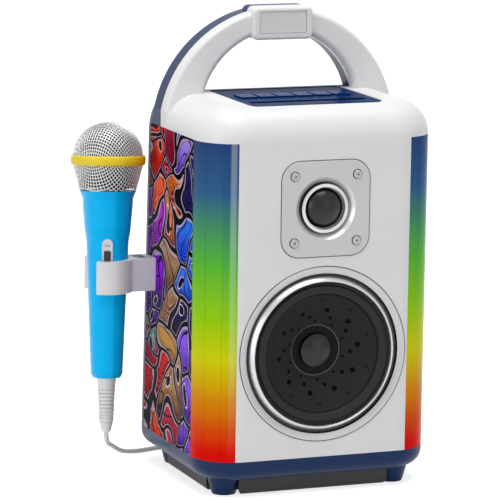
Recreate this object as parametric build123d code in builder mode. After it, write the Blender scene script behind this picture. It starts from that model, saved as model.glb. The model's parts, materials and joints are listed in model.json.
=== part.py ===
"""Karaoke speaker with a light-bar cabinet, an arched carrying handle and a clipped-on microphone.

Every physical piece is its own solid in its own STEP file. Lengths are in millimetres, +Z is up,
the front faces -Y and the origin is the middle of the four feet, on the floor.
"""

import os
from math import asin, atan2, cos, degrees, pi, radians, sin, tan

from build123d import *

os.makedirs("parts", exist_ok=True)

# ---------------------------------------------------------------- cabinet
WIDTH = 175.0
DEPTH_LOW = 146.5  # front face to back face, at the top of the base tray
DEPTH_HIGH = 136.0  # the same at the top of the light bars: the back leans forward
BASE_HEIGHT = 27.0  # floor to the parting line between base tray and housings
BAR_LENGTH = 225.0
HOOD_RISE = 24.0  # top of the light bars to the top of the cabinet
FRONT_DEPTH = 98.0  # front face to the parting plane of the two housings
CORNER_R = 30.0
BACK_R = 16.0
HOOD_R = 24.0
REAR_TOP_R = 31.0  # how the back rolls over into the top
WALL = 2.5
FIT = 0.2  # gap all round a part that drops into a recess
SLIDE_FIT = 0.25  # gap round a part that moves in an opening

HALF = WIDTH / 2
FRONT_Y = -DEPTH_LOW / 2
BACK_LOW_Y = FRONT_Y + DEPTH_LOW
SPLIT_Y = FRONT_Y + FRONT_DEPTH
BAR_TOP = BASE_HEIGHT + BAR_LENGTH
HOOD_TOP = BAR_TOP + HOOD_RISE
BACK_LEAN = (DEPTH_LOW - DEPTH_HIGH) / BAR_LENGTH  # how far the back comes forward per mm of height

# ---------------------------------------------------------------- handle
ARCH_R = 89.2
ARCH_Z = BAR_TOP - 5.7
ARCH_INNER_R = 59.8
ARCH_INNER_Z = BAR_TOP + 7.3
ARCH_FRONT = 88.0  # distances behind the front face
ARCH_BACK = 115.0
ARCH_ROUND = 3.0
ARCH_INNER_ROUND = 4.5
GRIP_WIDTH = 46.0
GRIP_HEIGHT = 23.5
GRIP_Z = ARCH_Z + 78.4
GRIP_FRONT = 84.5
GRIP_BACK = 109.5
GRIP_CORNER = 4.5
GRIP_ROUND = 2.2
INLAY_WIDTH = 36.0
INLAY_HEIGHT = 15.6
INLAY_DEPTH = 1.6
INLAY_SET = 0.8  # how far the inlay lies below the grip's face
INLAY_LIFT = 0.9  # inlay centre above grip centre

# ---------------------------------------------------------------- light bars
BAR_EDGE = 64.5  # cabinet centre to the bar's front edge
BAR_WALL = 2.2
BAR_SETBACK = 10.0  # room for the light boards behind the diffuser
WEB = 2.0
LED_COUNT = 12
LED_SIZE = 5.0
LED_HEIGHT = 1.6
LED_BOARD_WIDTH = 11.0
BOARD = 1.6

# ---------------------------------------------------------------- side panels
SKIN = 0.8
SKIN_EDGE = 118.5  # front face to the skin's rear edge, at the top

# ---------------------------------------------------------------- control panel
PANEL_HALF = 50.5
PANEL_FRONT = 18.0
PANEL_BACK = 103.0
PANEL_SET = 0.4  # how far the panel lies below the hood's top
PANEL_TOP = HOOD_TOP - PANEL_SET
PANEL_THICK = 2.0
PANEL_CORNER = 6.0
LEDGE = 3.0
KEY_COUNT = 6
KEY_PITCH = 14.2
KEY_WIDTH = 12.6
KEY_LENGTH = 17.0
KEY_CENTRE = 65.5
KEY_PROUD = 1.0
KEY_TRAVEL = 0.8
KEY_FLANGE = 0.6
SLOT_WIDTH = 88.0
SLOT_GAP = 8.0
SLOT_DEEP = 6.0
SLOT_CENTRE = 36.0

# ---------------------------------------------------------------- tweeter
TWEETER_Z = BAR_TOP - 47.6
PLATE_WIDTH = 66.0
PLATE_HEIGHT = 67.6
PLATE_THICK = 1.8
PLATE_PROUD = 0.7
PLATE_CORNER = 13.8
PLATE_SCREW = 46.9
WELL_R = 22.3
WELL_FLOOR_R = 18.6
WELL_DEEP = 4.2
WELL_WALL = 1.0
DOME_R = 14.3
DOME_RISE = 7.5
DOME_WALL = 0.8
TWEETER_MAGNET_R = 19.5
TWEETER_MAGNET_LENGTH = 13.0
SCREW_R = 1.5
SCREW_HEAD_R = 3.15
SCREW_HEAD = 1.3
SCREW_LONG = 8.0

# ---------------------------------------------------------------- woofer
WOOFER_Z = BASE_HEIGHT + 73.9
TRIM_R = 62.3
TRIM_SEAT = 1.0
WOOFER_HOLE_R = 57.4
SURROUND_R = 50.6
CONE_R = 42.0
CAP_RING_R = 17.6
CONE_DEEP = 14.6  # front face to the cone's throat
CONE_WALL = 1.0
CONE_TRAVEL = 2.0
DUST_CAP_R = 12.0
COIL_R = 13.0
BASKET_R = 62.0
BASKET_FLANGE = 1.6
BASKET_WALL = 1.6
BASKET_DEEP = 34.0
BASKET_FLOOR_R = 32.0
BASKET_WINDOWS = 6
MAGNET_R = 30.0
MAGNET_LENGTH = 17.0
WOOFER_SCREW_R = 59.4
WOOFER_SCREW_HOLE_R = 1.3
WOOFER_HEAD_R = 2.2
WOOFER_HEAD = 1.2

# ---------------------------------------------------------------- base
SKIRT_ROUND = 12.0
SKIRT_LOW = 12.0  # floor to the skirt's flat underside
FOOT_R = 12.0
FOOT_LOW_R = 8.8
FOOT_X = 64.0
FOOT_Y = 49.0
PAD_HEIGHT = 0.8
COVER_INSET = 13.5
COVER_LOW = 0.0
COVER_ROUND = 3.5

# ---------------------------------------------------------------- back panel
JACK_PLATE_WIDTH = 96.0
JACK_PLATE_HEIGHT = 34.0
JACK_PLATE_THICK = 2.4
JACK_PLATE_UP = 46.0  # along the back, from the base tray to the plate's centre
JACK_R = 3.25
JACK_BARREL_R = 5.5
JACK_LENGTH = 16.0
ROCKER_WIDTH = 12.0
ROCKER_HEIGHT = 17.0
ROCKER_ANGLE = 12.0
MAIN_BOARD_WIDTH = 92.0
MAIN_BOARD_HEIGHT = 62.0
MAIN_BOARD_UP = 128.0  # along the back, from the base tray to the board's centre
STANDOFF = 8.0
AMPLIFIER_SIZE = 14.0
RADIO_WIDTH = 10.0
RADIO_HEIGHT = 7.0
SOCKET_WIDTH = 22.0
CHIP_HIGH = 1.6
CAPACITOR_R = 4.0
CAPACITOR_HIGH = 11.0
BATTERY_WIDTH = 76.0
BATTERY_LONG = 38.0
BATTERY_HIGH = 19.5
BATTERY_BACK = 22.0  # its centre, behind the middle of the cabinet
CASE_SCREW_X = 62.0
CASE_SCREW_Z = (BASE_HEIGHT + 31, BASE_HEIGHT + BAR_LENGTH * 0.55, BAR_TOP - 16)
BOSS_R = 4.5
BOSS_LONG = 20.0
FOOT_RIB = 10.5

# ---------------------------------------------------------------- microphone
MIC_X = -120.5  # where its axis crosses the middle of the clip
MIC_DEPTH = 116.5  # the same, behind the front face
MIC_Z = 142.9
MIC_TURN = 19.0  # degrees, direction that its switch faces, from -Y towards -X
MIC_LEAN = 6.0  # degrees, its top leans back in the clip
RING_UP = 82.9  # clip middle to the band's middle, along the microphone
BALL_R = 25.2
BALL_UP = 2.2
MESH = 1.0
BAND_R = 26.9
BAND_HALF = 3.4
GRILLE_END = 22.0
COLLAR_END = 34.5
BODY_END = 156.6
BODY_WALL = 2.0
BOOT_END = 196.0
BOOT_NECK_R = 6.4
SWITCH_WIDTH = 7.6
SWITCH_TOP = 56.0
SWITCH_LONG = 27.0
SLIDER_WIDTH = 4.6
SLIDER_LONG = 7.0
SLIDER_TOP = 64.6
SLIDER_TRAVEL = 4.0
CAPSULE_R = 12.5

# ---------------------------------------------------------------- microphone clip
CLIP_R = 18.7
CLIP_WALL = 2.5
CLIP_HEIGHT = 23.7
CLIP_Z = 143.55
CLIP_MOUTH = 47.0  # degrees each side of -X that are left open
CLIP_DEPTH = 115.6  # middle of its base, behind the front face
CLIP_BASE_HALF = 9.7
CLIP_SCREW = 7.0
CLIP_FIT = 0.3
CHANNEL_WIDTH = 9.0
CHANNEL_DEEP = 2.3

# ---------------------------------------------------------------- cord
CORD_R = 1.7
COIL_X = -30.0
COIL_Y = 112.0
COIL_MEAN_R = 20.5
COIL_BUNDLE = 17.0
COIL_HEIGHT = 14.5
TIE_THICK = 0.5
TIE_WIDTH = 9.0
TIE_TURN = 60.0
PLUG_R = 6.0
PLUG_LENGTH = 30.0
PLUG_BOOT = 14.0
PLUG_X = -9.6  # the boot's end, on the floor beside the coil
PLUG_Y = 92.0
JACK_SHAFT = 30.0
TIP_R = 3.15


def behind(depth):
    """Row Y of a distance behind the front face."""
    return FRONT_Y + depth


def back_y(z):
    """Row Y of the leaning back face at a height."""
    return BACK_LOW_Y - BACK_LEAN * (z - BASE_HEIGHT)


def facing(y):
    """Plane that looks at the front: local x is X, local y is Z, and extrusion comes forward."""
    return Plane(origin=(0, y, 0), x_dir=(1, 0, 0), z_dir=(0, -1, 0))


def write(part, node):
    """Name a finished piece and write it to its STEP file."""
    part.label = node
    export_step(part, f"parts/{node}.step")


def cap_arc(radius, base, rise):
    """Arc of a spherical cap in a half-section: from its rim to its tip on the axis."""
    sphere_r = (radius**2 + rise**2) / (2 * rise)
    half_angle = asin(radius / sphere_r) / 2
    middle = (sphere_r * sin(half_angle), base - rise + sphere_r * (1 - cos(half_angle)))
    return ThreePointArc((radius, base), middle, (0, base - rise))


# ---------------------------------------------------------------- closed forms of the two housings
def front_form(inset, past=0.0):
    """Closed form of the front half, drawn inset inside its skin."""
    front = FRONT_Y + inset
    back = SPLIT_Y + past
    with BuildPart() as form:
        with BuildSketch(Plane.XY.offset(BASE_HEIGHT)) as plan:
            with Locations((0, (front + back) / 2)):
                Rectangle(WIDTH - 2 * inset, back - front)
            fillet(plan.vertices().group_by(Axis.Y)[0], CORNER_R - inset)
        extrude(amount=HOOD_TOP - inset - BASE_HEIGHT)
        rim = form.faces().sort_by(Axis.Z)[-1].edges().sort_by(Axis.Y)[:-1]
        fillet(rim, HOOD_R - inset)
    return form.part


def rear_form(inset, past=0.0):
    """Closed form of the rear half, drawn inset inside its skin."""
    front = SPLIT_Y - past
    top = HOOD_TOP - inset
    with BuildPart() as form:
        with BuildSketch(Plane.YZ):
            with BuildLine():
                Polyline(
                    (front, BASE_HEIGHT),
                    (back_y(BASE_HEIGHT) - inset, BASE_HEIGHT),
                    (back_y(top) - inset, top),
                    (front, top),
                    close=True,
                )
            side = make_face()
            fillet(side.vertices().group_by(Axis.Z)[-1].sort_by(Axis.Y)[-1], REAR_TOP_R - inset)
        extrude(amount=HALF - inset, both=True)
        for outside in (form.faces().sort_by(Axis.X)[0], form.faces().sort_by(Axis.X)[-1]):
            flat = outside.edges().filter_by(Axis.Y).sort_by(Axis.Z)[0]
            joint = outside.edges().filter_by(Axis.Z)[0]
            fillet([edge for edge in outside.edges() if edge not in (flat, joint)], BACK_R - inset)
    return form.part


def arch_form(front, back, rounded_front):
    """Half of the handle arch between two planes, with its outward edges rounded."""
    with BuildPart() as form:
        with BuildSketch(facing(back)):
            with Locations((0, ARCH_Z)):
                Circle(ARCH_R)
                Rectangle(WIDTH, 2 * ARCH_R, mode=Mode.INTERSECT)
            with Locations((0, ARCH_INNER_Z)):
                Circle(ARCH_INNER_R, mode=Mode.SUBTRACT)
            with Locations((0, ARCH_Z - ARCH_R / 2)):
                Rectangle(3 * ARCH_R, ARCH_R, mode=Mode.SUBTRACT)
        extrude(amount=back - front)
        face = form.faces().sort_by(Axis.Y)[0 if rounded_front else -1]
        arcs = face.edges().filter_by(GeomType.CIRCLE)
        inner = [edge for edge in arcs if edge.radius < (ARCH_R + ARCH_INNER_R) / 2]
        feet = face.edges().filter_by(Axis.X)
        outer = [edge for edge in face.edges() if edge not in inner and edge not in feet]
        fillet(outer, ARCH_ROUND)
        fillet(inner, ARCH_INNER_ROUND)
    return form.part


def grip_form(front, back, rounded_front):
    """Half of the grip block in the middle of the handle."""
    with BuildPart() as form:
        with BuildSketch(facing(back)):
            with Locations((0, GRIP_Z)):
                RectangleRounded(GRIP_WIDTH, GRIP_HEIGHT, GRIP_CORNER)
        extrude(amount=back - front)
        face = form.faces().sort_by(Axis.Y)[0 if rounded_front else -1]
        fillet(face.edges(), GRIP_ROUND)
    return form.part


# Corner recess behind each light bar: everything outside the bar's two edges.
ARC_X = HALF - CORNER_R
ARC_Y = FRONT_Y + CORNER_R
RECESS_R = CORNER_R - BAR_SETBACK
LED_SEAT_R = RECESS_R + 0.8

with BuildPart() as corner_cut:
    with BuildSketch(Plane.XY.offset(BASE_HEIGHT)):
        with Locations((BAR_EDGE, ARC_Y)):
            Rectangle(CORNER_R, CORNER_R, align=(Align.MIN, Align.MAX))
    extrude(amount=BAR_LENGTH)

with BuildPart() as corner_wall:
    with BuildSketch(Plane.XY.offset(BASE_HEIGHT)):
        with Locations((ARC_X, ARC_Y)):
            Circle(RECESS_R)
            Circle(RECESS_R - WEB, mode=Mode.SUBTRACT)
        with Locations((ARC_X, ARC_Y - RECESS_R)):
            Rectangle(2 * CORNER_R, 4 * RECESS_R, align=(Align.MAX, Align.CENTER), mode=Mode.SUBTRACT)
        with Locations((ARC_X, ARC_Y)):
            Rectangle(2 * CORNER_R, 2 * CORNER_R, align=(Align.MIN, Align.MIN), mode=Mode.SUBTRACT)
        with Locations((BAR_EDGE, FRONT_Y + WALL / 2)):
            Rectangle(WEB, BAR_SETBACK + WEB, align=(Align.MAX, Align.MIN))
        with Locations((HALF - WALL / 2, ARC_Y)):
            Rectangle(BAR_SETBACK + WEB, WEB, align=(Align.MAX, Align.MIN))
    extrude(amount=BAR_LENGTH)
    with BuildSketch(Plane.XY.offset(BAR_TOP)):
        with Locations((ARC_X, ARC_Y)):
            Circle(CORNER_R - WALL / 2)
        with Locations((BAR_EDGE - WEB, ARC_Y)):
            Rectangle(3 * CORNER_R, 3 * CORNER_R, align=(Align.MAX, Align.CENTER), mode=Mode.SUBTRACT)
        with Locations((ARC_X, ARC_Y + WEB)):
            Rectangle(3 * CORNER_R, 3 * CORNER_R, align=(Align.CENTER, Align.MIN), mode=Mode.SUBTRACT)
    extrude(amount=WEB)
    # flat seat for the light board
    with BuildSketch(Plane.XY.offset(BASE_HEIGHT)):
        with Locations(Location((ARC_X, ARC_Y), -45)):
            with Locations(((LED_SEAT_R + RECESS_R - WEB / 2) / 2, 0)):
                Rectangle(LED_SEAT_R - RECESS_R + WEB / 2, LED_BOARD_WIDTH)
    extrude(amount=BAR_LENGTH)


def skin_outline(gap):
    """Side panel outline on the YZ plane, grown by a gap."""
    low = BASE_HEIGHT
    top = BAR_TOP + gap
    front = ARC_Y + FIT / 2 - gap
    rear = behind(SKIN_EDGE) + gap
    with BuildSketch(Plane.YZ) as outline:
        with BuildLine():
            Polyline(
                (front, low),
                (rear + BACK_LEAN * (BAR_TOP - low), low),
                (rear, top),
                (front, top),
                close=True,
            )
        make_face()
    return outline.sketch


with BuildPart() as skin_cut:
    extrude(skin_outline(FIT / 2).moved(Location((HALF - SKIN, 0, 0))), amount=2 * SKIN)

with BuildPart() as skin:
    extrude(skin_outline(0).moved(Location((HALF - SKIN, 0, 0))), amount=SKIN)

# Frame that carries the control panel, cut off at the hood's own skin.
with BuildPart() as panel_frame:
    with BuildSketch(Plane.XY.offset(PANEL_TOP - PANEL_THICK - WALL)):
        with Locations((0, behind((PANEL_FRONT + PANEL_BACK) / 2))):
            Rectangle(2 * (PANEL_HALF + WALL), PANEL_BACK - PANEL_FRONT + 2 * WALL)
    extrude(amount=HOOD_TOP - PANEL_TOP + PANEL_THICK + WALL)

with BuildPart() as panel_pocket:
    with BuildSketch(Plane.XY.offset(PANEL_TOP - PANEL_THICK)):
        with Locations((0, behind((PANEL_FRONT + PANEL_BACK) / 2))):
            RectangleRounded(
                2 * (PANEL_HALF + FIT), PANEL_BACK - PANEL_FRONT + 2 * FIT, PANEL_CORNER + FIT
            )
    extrude(amount=HOOD_TOP - PANEL_TOP + PANEL_THICK + FIT)
    with BuildSketch(Plane.XY.offset(PANEL_TOP - PANEL_THICK - 2 * WALL)):
        with Locations((0, behind((PANEL_FRONT + PANEL_BACK) / 2))):
            RectangleRounded(
                2 * (PANEL_HALF - LEDGE), PANEL_BACK - PANEL_FRONT - 2 * LEDGE, PANEL_CORNER
            )
    extrude(amount=4 * WALL)

# ---------------------------------------------------------------- front housing
front_skin = front_form(0)
front_frame = panel_frame.part & front_skin

with BuildPart() as front_housing:
    add(front_skin)
    add(arch_form(behind(ARCH_FRONT), SPLIT_Y, True))
    add(grip_form(behind(GRIP_FRONT), SPLIT_Y, True))
    add(front_form(WALL, past=WALL), mode=Mode.SUBTRACT)
    add(front_frame)
    add(corner_cut.part, mode=Mode.SUBTRACT)
    add(mirror(corner_cut.part, about=Plane.YZ), mode=Mode.SUBTRACT)
    add(corner_wall.part)
    add(mirror(corner_wall.part, about=Plane.YZ))
    add(skin_cut.part, mode=Mode.SUBTRACT)
    add(mirror(skin_cut.part, about=Plane.YZ), mode=Mode.SUBTRACT)
    add(panel_pocket.part, mode=Mode.SUBTRACT)
    # recess and opening for the tweeter
    with BuildSketch(facing(FRONT_Y)):
        with Locations((0, TWEETER_Z)):
            RectangleRounded(PLATE_WIDTH + 2 * FIT, PLATE_HEIGHT + 2 * FIT, PLATE_CORNER + FIT)
    extrude(amount=-(PLATE_THICK - PLATE_PROUD), mode=Mode.SUBTRACT)
    with BuildSketch(facing(FRONT_Y)):
        with Locations((0, TWEETER_Z)):
            Circle(WELL_R + WELL_WALL + FIT)
            with GridLocations(PLATE_SCREW, PLATE_SCREW, 2, 2):
                Circle(SCREW_R + FIT)
    extrude(amount=-2 * WALL, mode=Mode.SUBTRACT)
    # bosses that take the tweeter screws
    with BuildSketch(facing(FRONT_Y + WALL)):
        with Locations((0, TWEETER_Z)):
            with GridLocations(PLATE_SCREW, PLATE_SCREW, 2, 2):
                Circle(2.2 * SCREW_R)
                Circle(SCREW_R + FIT / 4, mode=Mode.SUBTRACT)
    extrude(amount=-3 * WALL)
    # recess and opening for the woofer
    with BuildSketch(facing(FRONT_Y)):
        with Locations((0, WOOFER_Z)):
            Circle(TRIM_R + FIT)
    extrude(amount=-TRIM_SEAT, mode=Mode.SUBTRACT)
    with BuildSketch(facing(FRONT_Y)):
        with Locations((0, WOOFER_Z)):
            Circle(WOOFER_HOLE_R)
    extrude(amount=-2 * WALL, mode=Mode.SUBTRACT)
    # seat and blind holes for the woofer's flange
    with BuildSketch(facing(FRONT_Y + WALL)):
        with Locations((0, WOOFER_Z)):
            Circle(BASKET_R + FIT)
    extrude(amount=-BASKET_FLANGE, mode=Mode.SUBTRACT)
    with BuildSketch(facing(FRONT_Y + TRIM_SEAT + FIT / 2)):
        with Locations((0, WOOFER_Z)):
            with PolarLocations(WOOFER_SCREW_R, 4, start_angle=45):
                Circle(WOOFER_SCREW_HOLE_R - FIT / 4)
    extrude(amount=-WALL, mode=Mode.SUBTRACT)
    # recess for the grip inlay
    with BuildSketch(facing(behind(GRIP_FRONT))):
        with Locations((0, GRIP_Z + INLAY_LIFT)):
            RectangleRounded(INLAY_WIDTH + 2 * FIT, INLAY_HEIGHT + 2 * FIT, 1.0)
    extrude(amount=-(INLAY_DEPTH + INLAY_SET), mode=Mode.SUBTRACT)
    # bosses at the parting plane, each tied to the side wall by a rib
    for side in (-1, 1):
        for z in CASE_SCREW_Z:
            with BuildSketch(facing(SPLIT_Y)):
                with Locations((side * CASE_SCREW_X, z)):
                    Circle(BOSS_R)
                with Locations((side * (CASE_SCREW_X + HALF - WALL) / 2, z)):
                    Rectangle(HALF - WALL - CASE_SCREW_X + WALL / 2, WEB)
                with Locations((side * CASE_SCREW_X, z)):
                    Circle(SCREW_R + FIT / 4, mode=Mode.SUBTRACT)
            extrude(amount=BOSS_LONG)
    # bosses over the front feet, each tied to its corner wall by a rib
    for side in (-1, 1):
        with BuildSketch(Plane.XY.offset(BASE_HEIGHT)):
            with Locations((side * FOOT_X, -FOOT_Y)):
                Circle(BOSS_R)
            with Locations(Location((side * FOOT_X, -FOOT_Y), 45 * side)):
                Rectangle(WEB, FOOT_RIB, align=(Align.CENTER, Align.MAX))
            with Locations((side * FOOT_X, -FOOT_Y)):
                Circle(SCREW_R + FIT / 4, mode=Mode.SUBTRACT)
        extrude(amount=BOSS_LONG)
write(front_housing.part, "front_housing")

with BuildPart() as grip_inlay:
    with BuildSketch(facing(behind(GRIP_FRONT) + INLAY_DEPTH + INLAY_SET)):
        with Locations((0, GRIP_Z + INLAY_LIFT)):
            RectangleRounded(INLAY_WIDTH, INLAY_HEIGHT, 0.9)
    extrude(amount=INLAY_DEPTH)
    chamfer(grip_inlay.faces().sort_by(Axis.Y)[0].edges(), 0.3)
write(grip_inlay.part, "grip_inlay")

# ---------------------------------------------------------------- rear housing
back_plane = Plane(
    origin=(0, BACK_LOW_Y, BASE_HEIGHT), x_dir=(-1, 0, 0), z_dir=(0, 1, BACK_LEAN)
)
rear_skin = rear_form(0)
rear_frame = panel_frame.part & rear_skin
case_screw_spots = [(side * CASE_SCREW_X, z) for side in (-1, 1) for z in CASE_SCREW_Z]
screw_floor_y = back_y(BAR_TOP) - 12 * WALL  # where the case screws' heads seat
clip_screws = [(behind(CLIP_DEPTH), CLIP_Z + side * CLIP_SCREW) for side in (-1, 1)]

with BuildPart() as rear_housing:
    add(rear_skin)
    add(arch_form(SPLIT_Y, behind(ARCH_BACK), False))
    add(grip_form(SPLIT_Y, behind(GRIP_BACK), False))
    add(rear_form(WALL, past=WALL), mode=Mode.SUBTRACT)
    add(rear_frame)
    add(skin_cut.part, mode=Mode.SUBTRACT)
    add(mirror(skin_cut.part, about=Plane.YZ), mode=Mode.SUBTRACT)
    add(panel_pocket.part, mode=Mode.SUBTRACT)
    # tubes for the case screws, from the parting plane to the back wall
    with BuildSketch(facing(SPLIT_Y)):
        with Locations(case_screw_spots):
            Circle(BOSS_R + 1)
    extrude(until=Until.NEXT, dir=(0, 1, 0))
    # bosses over the rear feet, each tied to its side wall by a rib
    for side in (-1, 1):
        with BuildSketch(Plane.XY.offset(BASE_HEIGHT)):
            with Locations((side * FOOT_X, FOOT_Y)):
                Circle(BOSS_R)
            with Locations((side * (FOOT_X + HALF - WALL / 2) / 2, FOOT_Y)):
                Rectangle(HALF - WALL / 2 - FOOT_X, WEB)
            with Locations((side * FOOT_X, FOOT_Y)):
                Circle(SCREW_R + FIT / 4, mode=Mode.SUBTRACT)
        extrude(amount=BOSS_LONG)
    with BuildSketch(facing(BACK_LOW_Y)):
        with Locations(case_screw_spots):
            Circle(SCREW_HEAD_R + FIT)
    extrude(amount=BACK_LOW_Y - screw_floor_y, mode=Mode.SUBTRACT)
    with BuildSketch(facing(BACK_LOW_Y)):
        with Locations(case_screw_spots):
            Circle(SCREW_R + FIT)
    extrude(amount=DEPTH_LOW, mode=Mode.SUBTRACT)
    # recess and opening for the jack plate
    with BuildSketch(back_plane):
        with Locations((0, JACK_PLATE_UP)):
            RectangleRounded(JACK_PLATE_WIDTH + 2 * FIT, JACK_PLATE_HEIGHT + 2 * FIT, 4 + FIT)
    extrude(amount=-JACK_PLATE_THICK / 2, mode=Mode.SUBTRACT)
    with BuildSketch(back_plane):
        with Locations((0, JACK_PLATE_UP)):
            RectangleRounded(JACK_PLATE_WIDTH - 2 * LEDGE, JACK_PLATE_HEIGHT - 2 * LEDGE, 2)
    extrude(amount=-3 * WALL, mode=Mode.SUBTRACT)
    # standoffs for the main board
    with BuildSketch(back_plane.offset(-WALL / 2)):
        with Locations((0, MAIN_BOARD_UP)):
            with GridLocations(MAIN_BOARD_WIDTH - 8, MAIN_BOARD_HEIGHT - 8, 2, 2):
                Circle(3.0)
    extrude(amount=-WALL / 2 - STANDOFF)
    # holes for the microphone clip's screws, in the left wall
    with BuildSketch(Plane.YZ.offset(-HALF)):
        with Locations(clip_screws):
            Circle(SCREW_R + FIT)
    extrude(amount=2 * WALL, mode=Mode.SUBTRACT)
    # flat seats for the heads of the clip's screws
    with BuildSketch(Plane.YZ.offset(WALL - HALF)):
        with Locations(clip_screws):
            Circle(SCREW_HEAD_R + FIT)
    extrude(amount=SCREW_HEAD_R, mode=Mode.SUBTRACT)
write(rear_housing.part, "rear_housing")

# ---------------------------------------------------------------- base tray, cover and feet
def base_plan(inset, front_r, rear_r):
    """Plan of the base drawn inset inside the cabinet's footprint."""
    with BuildSketch() as plan:
        Rectangle(WIDTH - 2 * inset, DEPTH_LOW - 2 * inset)
        fillet(plan.vertices().group_by(Axis.Y)[0], front_r)
        fillet(plan.vertices().group_by(Axis.Y)[-1], rear_r)
    return plan.sketch


feet = [(x, y) for x in (-FOOT_X, FOOT_X) for y in (-FOOT_Y, FOOT_Y)]
TRAY_FLOOR = SKIRT_LOW + WALL
SCREW_SEAT = TRAY_FLOOR + WALL  # where the base screws' heads seat

with BuildPart() as base_tray:
    extrude(base_plan(0, CORNER_R, BACK_R).moved(Location((0, 0, SKIRT_LOW))), amount=BASE_HEIGHT - SKIRT_LOW)
    fillet(base_tray.faces().sort_by(Axis.Z)[0].edges(), SKIRT_ROUND)
    inner = base_plan(WALL, CORNER_R - WALL, BACK_R - WALL)
    with BuildPart(mode=Mode.PRIVATE) as hollow:
        extrude(inner.moved(Location((0, 0, TRAY_FLOOR))), amount=BASE_HEIGHT - SKIRT_LOW)
        fillet(hollow.faces().sort_by(Axis.Z)[0].edges(), SKIRT_ROUND - WALL)
    add(hollow.part, mode=Mode.SUBTRACT)
    with BuildSketch(Plane.XY.offset(PAD_HEIGHT)):
        with Locations(feet):
            Circle(FOOT_LOW_R)
    foot_taper = degrees(atan2(FOOT_R - FOOT_LOW_R, SKIRT_LOW - PAD_HEIGHT))
    extrude(amount=SKIRT_LOW - PAD_HEIGHT + WALL / 2, taper=-foot_taper)
    with BuildSketch(Plane.XY.offset(SKIRT_LOW + WALL / 2)):
        with Locations(feet):
            Circle(BOSS_R + 1)
    extrude(amount=BASE_HEIGHT - SKIRT_LOW - WALL / 2)
    with BuildSketch():
        with Locations(feet):
            Circle(SCREW_HEAD_R + FIT)
    extrude(amount=SCREW_SEAT, mode=Mode.SUBTRACT)
    with BuildSketch():
        with Locations(feet):
            Circle(SCREW_R + FIT)
    extrude(amount=BASE_HEIGHT + WALL, mode=Mode.SUBTRACT)
    # fence round the battery pack
    with BuildSketch(Plane.XY.offset(TRAY_FLOOR - WALL / 2)):
        with Locations((0, BATTERY_BACK)):
            Rectangle(BATTERY_WIDTH + 2 * WEB + 2 * FIT, BATTERY_LONG + 2 * WEB + 2 * FIT)
            Rectangle(BATTERY_WIDTH + 2 * FIT, BATTERY_LONG + 2 * FIT, mode=Mode.SUBTRACT)
    extrude(amount=3 * WALL)
write(base_tray.part, "base_tray")

with BuildPart() as bottom_cover:
    cover_r = CORNER_R - COVER_INSET
    plan = base_plan(COVER_INSET, cover_r, cover_r)
    extrude(plan.moved(Location((0, 0, COVER_LOW))), amount=SKIRT_LOW - COVER_LOW)
    fillet(bottom_cover.faces().sort_by(Axis.Z)[0].edges(), COVER_ROUND)
    plan = base_plan(COVER_INSET + WALL, cover_r - WALL, cover_r - WALL)
    extrude(plan.moved(Location((0, 0, COVER_LOW + WALL))), amount=SKIRT_LOW, mode=Mode.SUBTRACT)
    with BuildSketch():
        with Locations(feet):
            Circle(FOOT_R + 1 + WALL)
    extrude(amount=SKIRT_LOW)
    with BuildPart(mode=Mode.PRIVATE) as bounds:
        plan = base_plan(COVER_INSET, cover_r, cover_r)
        extrude(plan.moved(Location((0, 0, COVER_LOW))), amount=SKIRT_LOW - COVER_LOW)
        fillet(bounds.faces().sort_by(Axis.Z)[0].edges(), COVER_ROUND)
    add(bounds.part, mode=Mode.INTERSECT)
    with BuildSketch():
        with Locations(feet):
            Circle(FOOT_R + 1)
    extrude(amount=SKIRT_LOW, mode=Mode.SUBTRACT)
write(bottom_cover.part, "bottom_cover")

with BuildPart() as foot_pads:
    with BuildSketch():
        with Locations(feet):
            Circle(FOOT_LOW_R - 2 * FIT)
    extrude(amount=PAD_HEIGHT)
write(foot_pads.part, "foot_pads")

with BuildPart() as base_screws:
    with BuildSketch(Plane.XY.offset(SCREW_SEAT - 2)):
        with Locations(feet):
            Circle(SCREW_HEAD_R)
    extrude(amount=2)
    with BuildSketch(Plane.XY.offset(SCREW_SEAT)):
        with Locations(feet):
            Circle(SCREW_R)
    extrude(amount=BASE_HEIGHT - SCREW_SEAT + BOSS_LONG - WALL)
write(base_screws.part, "base_screws")

with BuildPart() as case_screws:
    with BuildSketch(facing(screw_floor_y + 2)):
        with Locations(case_screw_spots):
            Circle(SCREW_HEAD_R)
    extrude(amount=2)
    with BuildSketch(facing(screw_floor_y)):
        with Locations(case_screw_spots):
            Circle(SCREW_R)
    extrude(amount=screw_floor_y - SPLIT_Y + BOSS_LONG - WALL)
write(case_screws.part, "case_screws")

with BuildPart() as battery_pack:
    with BuildSketch(Plane.XY.offset(TRAY_FLOOR)):
        with Locations((0, BATTERY_BACK)):
            RectangleRounded(BATTERY_WIDTH, BATTERY_LONG, 3)
    extrude(amount=BATTERY_HIGH)
    fillet(battery_pack.faces().sort_by(Axis.Z)[-1].edges(), 1.5)
write(battery_pack.part, "battery_pack")

# ---------------------------------------------------------------- side panels and light bars
write(skin.part, "side_panel_right")
with BuildPart() as left_skin:
    add(mirror(skin.part, about=Plane.YZ))
    with BuildSketch(Plane.YZ.offset(-HALF)):
        with Locations(clip_screws):
            Circle(SCREW_R + FIT)
    extrude(amount=WALL, mode=Mode.SUBTRACT)
write(left_skin.part, "side_panel_left")

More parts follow.
